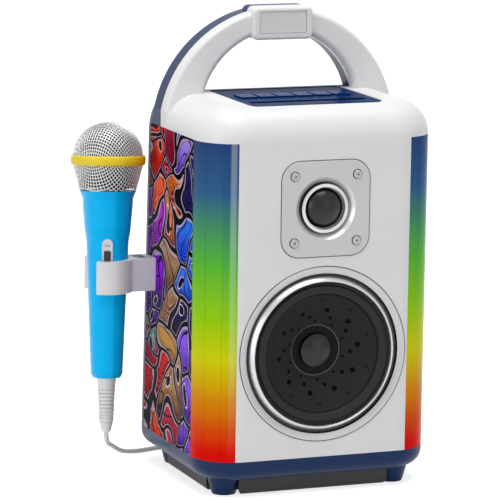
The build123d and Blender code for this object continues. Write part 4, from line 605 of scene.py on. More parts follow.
class Zone(Enum):
    """A column of the side print: heights as shares from the foot, and each zone's lit and deep colour."""

    REAR = (
        (0.0, srgb(240, 84, 14), srgb(205, 14, 14)), (0.16, srgb(228, 30, 20), srgb(140, 0, 36)),
        (0.3, srgb(120, 222, 212), srgb(176, 4, 40)), (0.42, srgb(148, 34, 220), srgb(54, 6, 106)),
        (0.6, srgb(218, 40, 232), srgb(100, 2, 150)), (0.76, srgb(255, 108, 60), srgb(222, 28, 12)),
    )
    MIDDLE = (
        (0.0, srgb(214, 40, 70), srgb(120, 10, 40)), (0.14, srgb(206, 150, 76), srgb(110, 68, 36)),
        (0.42, srgb(196, 150, 112), srgb(128, 86, 58)), (0.64, srgb(248, 126, 40), srgb(132, 36, 10)),
        (0.84, srgb(222, 46, 84), srgb(140, 12, 44)),
    )
    FRONT = (
        (0.0, srgb(146, 96, 240), srgb(78, 38, 168)), (0.33, srgb(36, 24, 84), srgb(10, 6, 34)),
        (0.45, srgb(54, 122, 252), srgb(6, 38, 190)), (0.78, srgb(40, 26, 100), srgb(12, 8, 42)),
        (0.86, srgb(176, 144, 240), srgb(112, 70, 206)),
    )


@dataclass(frozen=True)
class Pebble:
    """Signals of the side print's nearest pebble, in millimetres, and two lots that it drew."""

    inside: Signal  # distance in from its edge
    reach: Signal  # distance from its middle
    back: Signal  # its middle's place along the pattern
    up: Signal  # its middle's height
    luck: Signal
    other: Signal


@dataclass(frozen=True)
class SidePrint(Finish):
    """Glossy printed skin: pebbles and curling ribbons with pale outlines on black, in zones of colour."""

    low: float
    high: float
    rear_edge: float = 12.0
    front_edge: float = -17.0
    pebble: float = 27.0
    outline: float = 0.6
    gap: float = 1.7
    blur: float = 0.2
    # how far the pattern shifts front to back for each millimetre across, so that the two sides differ
    lean: float = 7.0
    drift: float = 44.0
    drift_scale: float = 0.03
    loose: float = 0.85
    eye: float = 4.2
    # the dark band inside each pebble's edge, and the highlight along its flank
    inner: tuple[float, float] = (1.5, 7.0)
    flank: tuple[float, float, float, float] = (2.5, 2.9, 3.2, 3.6)
    index: float = 1.045
    rough: float = 0.28
    relief: float = 0.000006

    def zones(self, graph: Graph, share: Signal, zone: Zone, lit: bool) -> Any:
        """One column of flat colours from the foot upwards, lit or deep."""
        ramp = graph.node("ShaderNodeValToRGB", {}, {"Fac": share})
        ramp.color_ramp.interpolation = "CONSTANT"
        graph.ramp(ramp.color_ramp, [(foot, bright if lit else dark) for foot, bright, dark in zone.value])
        return ramp.outputs[0]

    def columns(self, graph: Graph, depth: Signal, share: Signal, lit: bool) -> Any:
        """The colour of a place on the print, lit or deep."""
        order = (Zone.FRONT, Zone.MIDDLE, Zone.REAR)
        front, middle, rear = (self.zones(graph, share, zone, lit) for zone in order)
        return graph.mix(depth > self.rear_edge, graph.mix(depth > self.front_edge, front, middle), rear)

    def bend(self, graph: Graph, flat: Any) -> Any:
        """Move a flat place by a slow random drift, so that the pebbles curl."""
        inputs = {"Vector": flat, "Scale": self.drift_scale, "Detail": 0.0}
        drift = graph.node("ShaderNodeTexNoise", inputs=inputs).outputs["Color"]
        drift = graph.vector("SUBTRACT", drift, (0.5, 0.5, 0.5))
        return graph.vector("ADD", flat, graph.vector("SCALE", drift, self.drift))

    def pebble_at(self, graph: Graph, bent: Any) -> Pebble:
        """Find the pebble at a place."""
        units = graph.vector("SCALE", bent, 1 / self.pebble)
        near = graph.cells(units, 1.0, self.loose)
        rim = graph.cells(units, 1.0, self.loose, "DISTANCE_TO_EDGE")
        inside, reach = (Signal(graph, node.outputs["Distance"]) * self.pebble for node in (rim, near))
        luck, other, _ = graph.axes(near.outputs["Color"])
        back, up, _ = graph.axes(near.outputs["Position"])
        return Pebble(inside, reach, back * self.pebble, up * self.pebble, luck, other)

    def eyes(self, graph: Graph, pebble: Pebble, rise: Signal, fill: Any, lit: Any) -> Any:
        """Draw a dark eye with a pale rim in some pebbles, and a curl of the lighter colour in others."""
        at = self.eye + pebble.other * 2.0
        eyed = pebble.luck > 0.52
        rim = pebble.reach.line(at, 0.35, 0.6) * eyed
        eye = (1.0 - (pebble.reach - at).step(-0.2, 0.0)) * eyed
        curl = (pebble.reach * 0.33 + rise * 2.2).apply("FRACT").line(0.5, 0.1, 0.16)
        fill = graph.mix(curl * (pebble.luck < 0.34) * (pebble.reach > 3.0), fill, lit)
        fill = graph.mix(eye, fill, srgb(20, 8, 30))
        return graph.mix(rim, fill, srgb(232, 214, 232))

    def ribbons(self, graph: Graph, pebble: Pebble, bent: Any, fill: Any) -> Any:
        """Draw ribbons along the contours of a slow swirl, and specks in some pebbles."""
        swirl = graph.noise(bent, 0.022, 0.0)
        wave = ((swirl * 6.0).apply("FRACT") - 0.5).apply("ABSOLUTE")
        fill = graph.mix(wave.step(0.06, 0.05), fill, srgb(18, 8, 26))
        specks = 1.0 - Signal(graph, graph.cells(bent, 0.25, 1.0).outputs["Distance"]).step(0.11, 0.15)
        return graph.mix(specks * (pebble.other < 0.35), fill, srgb(30, 8, 30))

    def outlines(self, graph: Graph, inside: Signal, fill: Any) -> Any:
        """Draw each pebble's pale outline, and black between the pebbles."""
        pale_end = self.gap + self.outline
        fill = graph.mix(inside.step(pale_end + self.blur, pale_end) * 0.85, fill, srgb(214, 190, 220))
        return graph.mix(inside.step(self.gap + self.blur, self.gap), fill, srgb(4, 2, 6))

    def cover(self, graph: Graph) -> None:
        """Paint the shader."""
        across, depth, up = graph.millimetres()
        bent = self.bend(graph, graph.flat(depth + across * self.lean, up))
        pebble = self.pebble_at(graph, bent)
        share = (pebble.up - self.low) * (1.0 / (self.high - self.low))
        # the pebble's own place on the skin, less the shift that sets the two sides apart
        back = pebble.back - across * self.lean
        lit = self.columns(graph, back, share, True)
        deep = self.columns(graph, back, share, False)
        above = up - pebble.up
        rise = (above * (1 / self.pebble) + 0.5 + pebble.luck.sway(0.4)).step(0.15, 0.85)
        fill = graph.mix(rise, deep, lit)
        rim = 1.0 - pebble.inside.step(*self.inner)
        fill = graph.mix(rim, fill, graph.mix(0.75, fill, srgb(14, 4, 22)))
        fill = self.eyes(graph, pebble, rise, fill, lit)
        # a highlight along the upper flank of each pebble
        flank = pebble.inside.band(*self.flank) * above.step(3.0, 5.0)
        fill = graph.mix(flank * 0.55, fill, srgb(250, 236, 240))
        fill = self.ribbons(graph, pebble, bent, fill)
        fill = self.outlines(graph, pebble.inside, fill)
        dots = graph.noise(graph.place(), 2400.0, 1.0)
        graph.paint(Base_Color=fill, Roughness=self.rough + dots.sway(0.1), IOR=self.index)
        graph.bump(dots, self.relief)


@dataclass(frozen=True)
class Board(Finish):
    """Circuit board: green mask over copper tracks, with tinned pads."""

    mask: Colour
    track: Colour
    tin: Colour
    pitch: float = 4.0
    loose: float = 0.35
    rough: float = 0.3
    relief: float = 0.00003

    def cover(self, graph: Graph) -> None:
        """Paint the shader."""
        across, depth, up = graph.millimetres()
        # boards lie flat or upright, so all three directions count
        flat = graph.flat(across + depth * 0.3, up + depth * 0.7)
        brick = graph.node("ShaderNodeTexBrick", {"offset": 0.5}, {
            "Vector": flat, "Scale": 1 / self.pitch, "Brick Width": 2.6, "Row Height": 0.5,
            "Mortar Size": 0.04, "Mortar": (1, 1, 1), "Color1": (0, 0, 0), "Color2": (0, 0, 0),
        })
        track = Signal(graph, brick.outputs[1])
        pads = graph.cells(flat, 1 / self.pitch, self.loose)
        pad = 1.0 - Signal(graph, pads.outputs["Distance"]).step(0.16, 0.19)
        cloud = graph.noise(graph.place(), 60.0, 3.0)
        tone = graph.tones(cloud, self.mask, 0.9, 1.1)
        tone = graph.mix(track * 0.7, tone, self.track)
        graph.paint(Base_Color=graph.mix(pad, tone, self.tin), Metallic=pad * 0.9)
        graph.paint(Roughness=self.rough + pad * 0.08 + cloud.sway(0.1))
        graph.bump(track * 0.5 + pad, self.relief)


@dataclass(frozen=True)
class Winding(Finish):
    """Enamelled copper wire in close turns about an axis that runs front to back."""

    colour: Colour
    wire: float = 0.35
    rough: float = 0.28
    relief: float = 0.00008

    def cover(self, graph: Graph) -> None:
        """Paint the shader."""
        _, depth, _ = graph.millimetres()
        turn = depth.wave(self.wire) * 0.5 + 0.5
        cloud = graph.noise(graph.place(), 200.0, 3.0)
        # the wire is painted darker between the turns: painted shade in the crevices between wires
        tone = graph.tones(turn, self.colour, 0.5, 1.1)
        graph.paint(Base_Color=graph.mix(cloud * 0.3, tone, shade(self.colour, 0.8)), Metallic=0.9)
        graph.paint(Roughness=self.rough + (1.0 - turn) * 0.2)
        graph.bump(turn, self.relief)


@dataclass(frozen=True)
class ShrinkWrap(Finish):
    """Battery sleeve: glossy film with small creases and a lighter welded seam."""

    colour: Colour
    seam: float
    rough: float = 0.2
    relief: float = 0.0001

    def cover(self, graph: Graph) -> None:
        """Paint the shader."""
        _, _, up = graph.millimetres()
        crease = graph.noise(graph.place(scale=(60, 400, 60)), 1.0, 4.0, 0.6)
        seam = up.line(self.seam, 0.8, 1.1)
        tone = graph.tones(crease, self.colour, 0.85, 1.15)
        graph.paint(Base_Color=graph.mix(seam * 0.4, tone, shade(self.colour, 1.8)))
        graph.paint(Roughness=self.rough + crease.sway(0.15), Coat_Weight=0.4)
        graph.bump(crease + seam * 0.5, self.relief)


@dataclass(frozen=True)
class MicrophonePaint(Finish):
    """Glossy blue plastic with faint joint lines round the barrel."""

    colour: Colour
    sheen: Colour
    middle: Point
    up: Point
    seams: Sequence[float]
    stroke: tuple[float, float] = (0.12, 0.4)
    rough: float = 0.28
    relief: float = 0.00006

    def cover(self, graph: Graph) -> None:
        """Paint the shader."""
        along = graph.along(self.middle, self.up)
        seam = None
        for place in self.seams:
            line = along.line(place, *self.stroke)
            seam = line if seam is None else seam.apply("MAXIMUM", line)
        cloud = graph.noise(graph.place(), 20.0, 4.0)
        grain = graph.noise(graph.place(), 1400.0, 2.0)
        tone = graph.tones(cloud, self.colour, 0.96, 1.04)
        graph.paint(Base_Color=graph.mix(seam * 0.35, tone, shade(self.colour, 0.6)))
        graph.paint(Roughness=self.rough + cloud.sway(0.1) + grain.sway(0.05))
        graph.paint(Specular_Tint=(*self.sheen, 1.0), Coat_Weight=0.15, Coat_Roughness=0.1)
        graph.bump(grain * 0.15 - seam, self.relief)


@dataclass(frozen=True)
class RibbedBoot(Finish):
    """Soft white plastic with ribs round the microphone's axis, in its colour and bump only."""

    colour: Colour
    middle: Point
    up: Point
    low: float
    high: float
    pitch: float = 2.6
    rough: float = 0.5
    relief: float = 0.0004

    def cover(self, graph: Graph) -> None:
        """Paint the shader."""
        along = graph.along(self.middle, self.up)
        ribbed = along.band(self.low, self.low + 1.0, self.high - 1.0, self.high)
        groove = along.wave(self.pitch).step(0.35, 0.8) * ribbed
        cloud = graph.noise(graph.place(), 40.0, 4.0)
        grain = graph.noise(graph.place(), 2200.0, 2.0)
        tone = graph.tones(cloud, self.colour, 0.97, 1.02)
        # the grooves between the ribs are painted darker: painted shade in the grooves
        graph.paint(Base_Color=graph.mix(groove * 0.3, tone, shade(self.colour, 0.55)))
        graph.paint(Roughness=self.rough + cloud.sway(0.1) + grain.sway(0.06))
        graph.bump(grain * 0.05 - groove, self.relief)


# ---------------------------------------------------------------- modelling
WELD = 0.000005  # corners nearer than this, in metres, are one


def clear_selection() -> None:
    """Leave nothing selected, in object mode."""
    if bpy.context.object and bpy.context.object.mode != "OBJECT":
        bpy.ops.object.mode_set(mode="OBJECT")
    bpy.ops.object.select_all(action="DESELECT")


def pick(made: bpy.types.Object, test: Callable[[Vector, Vector], bool]) -> int:
    """Select the faces of a mesh in edit mode by their middle and normal.

    Args:
        made: the object in edit mode.
        test: takes a face's middle and its normal, and says whether it is wanted.

    Returns:
        How many faces are selected.
    """
    mesh = bmesh.from_edit_mesh(made.data)
    found = 0
    for face in mesh.faces:
        wanted = test(face.calc_center_median(), face.normal)
        face.select_set(wanted)
        found += int(wanted)
    mesh.select_flush_mode()
    bmesh.update_edit_mesh(made.data)
    return found


def finish_piece(
    made: bpy.types.Object, name: str, body: str, matrix: Matrix, smooth: float = 35.0
) -> None:
    """Put a finished piece's place into its mesh, name it and let it ride.

    Args:
        made: the piece, modelled in its own frame in metres.
        name: the piece's name.
        body: the CAD body that it moves with.
        matrix: the place of its own frame in the object.
        smooth: the angle in degrees under which faces are shaded smooth.
    """
    clear_selection()
    made.name = name
    made.data.name = name
    made.data.transform(matrix @ made.matrix_world)
    made.matrix_world = Matrix.Identity(4)
    made.select_set(True)
    bpy.context.view_layer.objects.active = made
    bpy.ops.object.mode_set(mode="EDIT")
    bpy.ops.mesh.select_all(action="SELECT")
    bpy.ops.mesh.remove_doubles(threshold=WELD / 5)
    bpy.ops.mesh.normals_make_consistent(inside=False)
    bpy.ops.object.mode_set(mode="OBJECT")
    bpy.ops.object.shade_smooth_by_angle(angle=math.radians(smooth))
    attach(made, body)
    LOG.info("%s: %d faces", name, len(made.data.polygons))


def thicken(height: float) -> None:
    """Raise the whole of a flat mesh in edit mode by a height in millimetres, and leave edit mode."""
    bpy.ops.mesh.select_all(action="SELECT")
    bpy.ops.mesh.extrude_region_move(TRANSFORM_OT_translate={"value": (0, 0, height * MM)})
    bpy.ops.object.mode_set(mode="OBJECT")


def as_mesh(made: bpy.types.Object) -> bpy.types.Object:
    """Turn a curve or a text into a mesh."""
    clear_selection()
    made.select_set(True)
    bpy.context.view_layer.objects.active = made
    bpy.ops.object.convert(target="MESH")
    return bpy.context.active_object


def join(pieces: Sequence[bpy.types.Object]) -> bpy.types.Object:
    """Join several objects into the first of them."""
    clear_selection()
    for piece in pieces:
        piece.select_set(True)
    bpy.context.view_layer.objects.active = pieces[0]
    if len(pieces) > 1:
        bpy.ops.object.join()
    bpy.ops.object.transform_apply(location=True, rotation=True, scale=True)
    return pieces[0]


class Wardrobe:
    """One material for each finish, and the slot of each CAD node."""

    def __init__(self, record: dict[str, Any], looks: Sequence[Finish]) -> None:
        """Make every finish once."""
        self.slots = {part["node"]: part["material_slot"] for part in record["subparts"]}
        self.made = {look.name: look.build() for look in looks}
        LOG.info("finishes: %d", len(self.made))

    def dress(self, piece: bpy.types.Object, finish: str) -> None:
        """Give a piece the finish of a name."""
        piece.data.materials.clear()
        piece.data.materials.append(self.made[finish])

    def dress_nodes(self, nodes: dict[str, Any]) -> None:
        """Give each CAD node the finish that has its slot's name."""
        for name, slot in self.slots.items():
            self.dress(nodes[name], slot)


# ---------------------------------------------------------------- speakers
def spun(outline: Outline, steps: int) -> bpy.types.Object:
    """Spin a closed outline about the Z axis.

    Args:
        outline: the section's corners, each a radius and a height in millimetres.
        steps: how many steps the turn takes.

    Returns:
        The ring, with its axis along Z.
    """
    clear_selection()
    bpy.ops.mesh.primitive_circle_add(vertices=len(outline), radius=MM, fill_type="NOTHING")
    made = bpy.context.active_object
    bpy.ops.object.mode_set(mode="EDIT")
    mesh = bmesh.from_edit_mesh(made.data)
    for corner, (radius, height) in zip(mesh.verts, outline):
        corner.co = (radius * MM, 0.0, height * MM)
    bmesh.update_edit_mesh(made.data)
    bpy.ops.mesh.select_all(action="SELECT")
    bpy.ops.mesh.spin(steps=steps, angle=2 * math.pi, center=(0, 0, 0), axis=(0, 0, 1))
    bpy.ops.mesh.select_all(action="SELECT")
    bpy.ops.mesh.remove_doubles(threshold=WELD)
    bpy.ops.object.mode_set(mode="OBJECT")
    return made


def rounded(made: bpy.types.Object, width: float) -> bpy.types.Object:
    """Round a piece's sharp edges by a width in millimetres."""
    bevel = made.modifiers.new("round", "BEVEL")
    bevel.width = width * MM
    bevel.segments = 3
    bevel.limit_method = "ANGLE"
    bevel.angle_limit = math.radians(30.0)
    bpy.context.view_layer.objects.active = made
    bpy.ops.object.modifier_apply(modifier=bevel.name)
    return made


@dataclass
class Speakers:
    """Front trim: thin dark rings as painted shade in the gaps round the plates, the woofer's bezel with
    painted shade down its groove, its lip, the tweeter's collar with its sleeve black as painted shade in the
    gap, and screw details with painted shade rings and recesses.
    """

    face: float
    tweeter_up: float
    woofer_up: float
    wardrobe: Wardrobe
    # width, height and corner radius of the tweeter's plate, and the play round it
    plate: tuple[float, float, float] = (66.0, 67.6, 13.8)
    plate_play: float = 0.2
    # radius of the woofer's trim, and the play round it
    trim: float = 62.3
    trim_play: float = 0.15
    # width and height of both thin dark rings in the gaps round the plates, which are painted shade
    lip: float = 0.35
    proud: float = 0.12
    # the screws' place off the tweeter's middle, their heads' radius, and how far plate and heads stand out
    screw: float = 23.45
    screw_head: float = 3.15
    plate_proud: float = 0.7
    head_proud: float = 1.3
    # start and end of a seat's shadow ring off the head, and its height
    seat_ring: tuple[float, float, float] = (0.02, 0.45, 0.06)
    # length, width and height of one dark raised bar that stands for a driver recess: painted shade in the
    # recess
    recess: tuple[float, float, float] = (2.3, 0.5, 0.06)
    # degrees between the angles at which the driver left one screw and the next
    recess_turn: float = 20.0
    # radius and height above the front face of each ring's section
    bezel: Outline = (
        (62.3, -1.0), (62.3, 0.3), (62.0, 0.6), (61.5, 0.6),
        (57.3, -0.95), (56.6, -2.3), (57.2, -2.3), (57.3, -1.0),
    )
    bezel_lip: Outline = ((55.6, -2.3), (52.7, 1.6), (52.3, 1.8), (51.8, 1.6), (51.4, 0.6), (51.4, -2.3))
    edge: float = 0.25
    collar: Outline = ((17.4, -0.9), (17.4, -0.5), (17.0, -0.25), (15.1, -0.25), (14.8, -0.6), (14.8, -0.9))
    # the sleeve is dressed black: painted shade in the deep gap round the collar
    sleeve: Outline = (
        (18.6, -3.45), (18.6, -3.2), (17.6, -3.2), (17.3, -0.9),
        (14.9, -0.9), (14.9, -1.6), (15.6, -1.6), (15.6, -3.45),
    )

    def seat(self, up: float, across: float = 0.0, out: float = 0.0) -> Matrix:
        """A frame on the front face: its X to the right, its Y upwards, its Z out of the face."""
        turn = Matrix.Rotation(math.pi / 2, 4, "X")
        return Matrix.Translation((across * MM, (self.face - out) * MM, up * MM)) @ turn

    def keep(self, made: bpy.types.Object, name: str, slot: str, place: Matrix, finish: str = "") -> None:
        """Finish a piece of the cabinet's front and dress it.

        Args:
            made: the piece, modelled in its own frame.
            name: the piece's name.
            slot: the slot of the record that it belongs to.
            place: where its own frame lies.
            finish: the finish that it gets, where that isn't the slot's own.
        """
        finish_piece(made, name, "cabinet", place)
        self.wardrobe.dress(made, finish or slot)

    def tweeter_gap_shade(self) -> None:
        """Model the thin dark rounded square ring in the gap round the tweeter's plate: painted shade of that
        gap.
        """
        wide, high, corner = self.plate
        border = 2 * (self.plate_play + self.lip)
        clear_selection()
        bpy.ops.mesh.primitive_plane_add(size=1.0)
        made = bpy.context.active_object
        made.scale = ((wide + border) * MM, (high + border) * MM, 1.0)
        bpy.ops.object.transform_apply(scale=True)
        bpy.ops.object.mode_set(mode="EDIT")
        bpy.ops.mesh.bevel(offset=(corner + self.lip) * MM, segments=10, affect="VERTICES")
        bpy.ops.mesh.inset(thickness=self.lip * MM)
        bpy.ops.mesh.delete(type="FACE")
        thicken(self.proud)
        self.keep(made, "tweeter_gap_shade", "pad_rubber", self.seat(self.tweeter_up))

    def band(self, inner: float, outer: float, height: float, steps: int) -> bpy.types.Object:
        """Spin a flat ring that stands on the face."""
        return spun(((inner, 0.0), (outer, 0.0), (outer, height), (inner, height)), steps)

    def woofer_gap_shade(self) -> None:
        """Model the thin dark round ring in the gap round the woofer's trim: painted shade of that gap."""
        inner = self.trim + self.trim_play
        made = self.band(inner, inner + self.lip, self.proud, 144)
        self.keep(made, "woofer_gap_shade", "pad_rubber", self.seat(self.woofer_up))

    def woofer_bezel(self) -> None:
        """Spin the bezel's dished band, its groove's inner wall painted near black as painted shade, and the
        raised lip inside it.
        """
        place = self.seat(self.woofer_up)
        made = rounded(spun(self.bezel, 160), self.edge)
        self.keep(made, "woofer_bezel", "plate_silver", place, "bezel_with_groove_shade")
        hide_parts("woofer_trim")
        made = rounded(spun(self.bezel_lip, 160), self.edge)
        self.keep(made, "woofer_lip", "chrome_ring", place)
        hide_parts("woofer_ring")

    def tweeter_collar(self) -> None:
        """Spin the bright collar round the dome and the sleeve that carries it, black as painted shade in the
        deep gap round the collar.
        """
        place = self.seat(self.tweeter_up)
        self.keep(spun(self.collar, 96), "tweeter_collar", "chrome_ring", place)
        self.keep(spun(self.sleeve, 96), "tweeter_shade_sleeve", "panel_black", place)

    def screw_detail(self) -> None:
        """Give each tweeter screw a shadow ring in its seat, and dark raised bars for its driver recess, as
        painted shade in the recess.
        """
        start, end, height = self.seat_ring
        for number, (side, rise) in enumerate(((-1, 1), (1, 1), (-1, -1), (1, -1)), 1):
            place = self.seat(self.tweeter_up + rise * self.screw, side * self.screw, self.plate_proud)
            ring = self.band(self.screw_head + start, self.screw_head + end, height, 40)
            self.keep(ring, f"screw_seat_{number}", "pad_rubber", place)
            bars = []
            for turn in (0.0, 90.0):
                clear_selection()
                bpy.ops.mesh.primitive_cube_add(size=MM, location=(0, 0, self.head_proud * MM))
                bar = bpy.context.active_object
                bar.scale = self.recess
                bar.rotation_euler = (0, 0, math.radians(turn + self.recess_turn * number))
                bpy.ops.object.mode_set(mode="EDIT")
                bpy.ops.mesh.select_all(action="SELECT")
                bpy.ops.mesh.bevel(offset=self.recess[2] * MM, segments=1)
                bpy.ops.object.mode_set(mode="OBJECT")
                bars.append(bar)
            self.keep(join(bars), f"screw_recess_shade_{number}", "magnet_grey", place)

    def build(self) -> None:
        """Make the front's trim."""
        self.tweeter_gap_shade()
        self.woofer_gap_shade()
        self.woofer_bezel()
        self.tweeter_collar()
        self.screw_detail()


# ---------------------------------------------------------------- keys
class Icon(Enum):
    """The plain signs on the six keys, by the names of the keys."""

    POWER = "power"
    MODE = "mode"
    PREVIOUS = "previous"
    PLAY = "play"
    NEXT = "next"
    RECORD = "record"


@dataclass
class KeyIcons:
    """Small raised signs, one set on each key's top."""

    wardrobe: Wardrobe
    size: float = 2.0
    stroke: float = 0.2
    hoop_width: float = 0.38
    # half the open hoop's gap, as a share of the sign's size
    hoop_gap: float = 0.35
    proud: float = 0.08

    def flat(
        self, corners: int, at: Sequence[float], stretch: Sequence[float], turn: float = 0.0
    ) -> bpy.types.Object:
        """One flat shape: a triangle, a bar or a disc.

        Args:
            corners: how many corners its outline has.
            at: its middle on the key, in millimetres.
            stretch: its half width and half height, in millimetres.
            turn: its turn in degrees.

        Returns:
            The shape, with a little thickness.
        """
        clear_selection()
        spin = (0, 0, math.radians(turn + (45.0 if corners == 4 else 0.0)))
        bpy.ops.mesh.primitive_circle_add(vertices=corners, radius=1.0, fill_type="NGON", rotation=spin)
        made = bpy.context.active_object
        bpy.ops.object.transform_apply(rotation=True)
        grow = math.sqrt(2.0) if corners == 4 else 1.0
        made.scale = (stretch[0] * grow * MM, stretch[1] * grow * MM, 1.0)
        made.location = (at[0] * MM, at[1] * MM, 0.0)
        bpy.ops.object.transform_apply(location=True, scale=True)
        bpy.ops.object.mode_set(mode="EDIT")
        thicken(self.proud)
        return made

    def bar(self, across: float, half: float = 0.8, stroke: float = 0.0) -> bpy.types.Object:
        """An upright bar at a place across the key, both as shares of the sign's size."""
        return self.flat(4, (self.size * across, 0), (stroke or self.stroke, self.size * half))

    def arrow(self, across: float, turn: float) -> bpy.types.Object:
        """A triangle at a place across the key, as a share of the sign's size."""
        return self.flat(3, (self.size * across, 0), (self.size, self.size), turn)

    def hoop(self, open_top: bool) -> bpy.types.Object:
        """A ring of flat section round the key's middle, with or without a gap at its top."""
        clear_selection()
        bpy.ops.mesh.primitive_circle_add(vertices=32, radius=self.size * MM, fill_type="NGON")
        made = bpy.context.active_object
        bpy.ops.object.mode_set(mode="EDIT")
        bpy.ops.mesh.inset(thickness=self.hoop_width * MM)
        bpy.ops.mesh.delete(type="FACE")
        reach = self.hoop_gap * self.size * MM
        if open_top and pick(made, lambda spot, _: abs(spot.x) < reach and spot.y > 0.0):
            bpy.ops.mesh.delete(type="FACE")
        thicken(self.proud)
        return made

    def shapes(self, icon: Icon) -> list[bpy.types.Object]:
        """The flat shapes of one sign."""
        s = self.size
        right, left = 0.0, 180.0
        if icon is Icon.POWER:
            return [self.hoop(True), self.flat(4, (0, s * 0.7), (self.stroke, s * 0.5))]
        if icon is Icon.MODE:
            return [self.flat(4, (0, row * s * 0.6), (s, self.stroke)) for row in (-1, 0, 1)]
        if icon is Icon.PREVIOUS:
            return [self.bar(-1.0), self.arrow(-0.1, left), self.arrow(1.0, left)]
        if icon is Icon.PLAY:
            return [self.arrow(-0.7, right), self.bar(0.7, stroke=0.25), self.bar(1.25, stroke=0.25)]
        if icon is Icon.NEXT:
            return [self.arrow(-1.0, right), self.arrow(0.1, right), self.bar(1.0)]
        return [self.hoop(False), self.flat(24, (0, 0), (s * 0.45, s * 0.45))]

    def build(self) -> None:
        """Make each key's sign and set it on the key."""
        for icon in Icon:
            node = f"key_{icon.value}"
            low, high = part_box(node)
            made = join(self.shapes(icon))
            middle = ((low[0] + high[0]) / 2, (low[1] + high[1]) / 2, high[2])
            finish_piece(made, f"icon_{icon.value}", node, Matrix.Translation(middle))
            self.wardrobe.dress(made, "icon_blue")


# ---------------------------------------------------------------- microphone
Section = Callable[[float], tuple[float, float, float, float]]


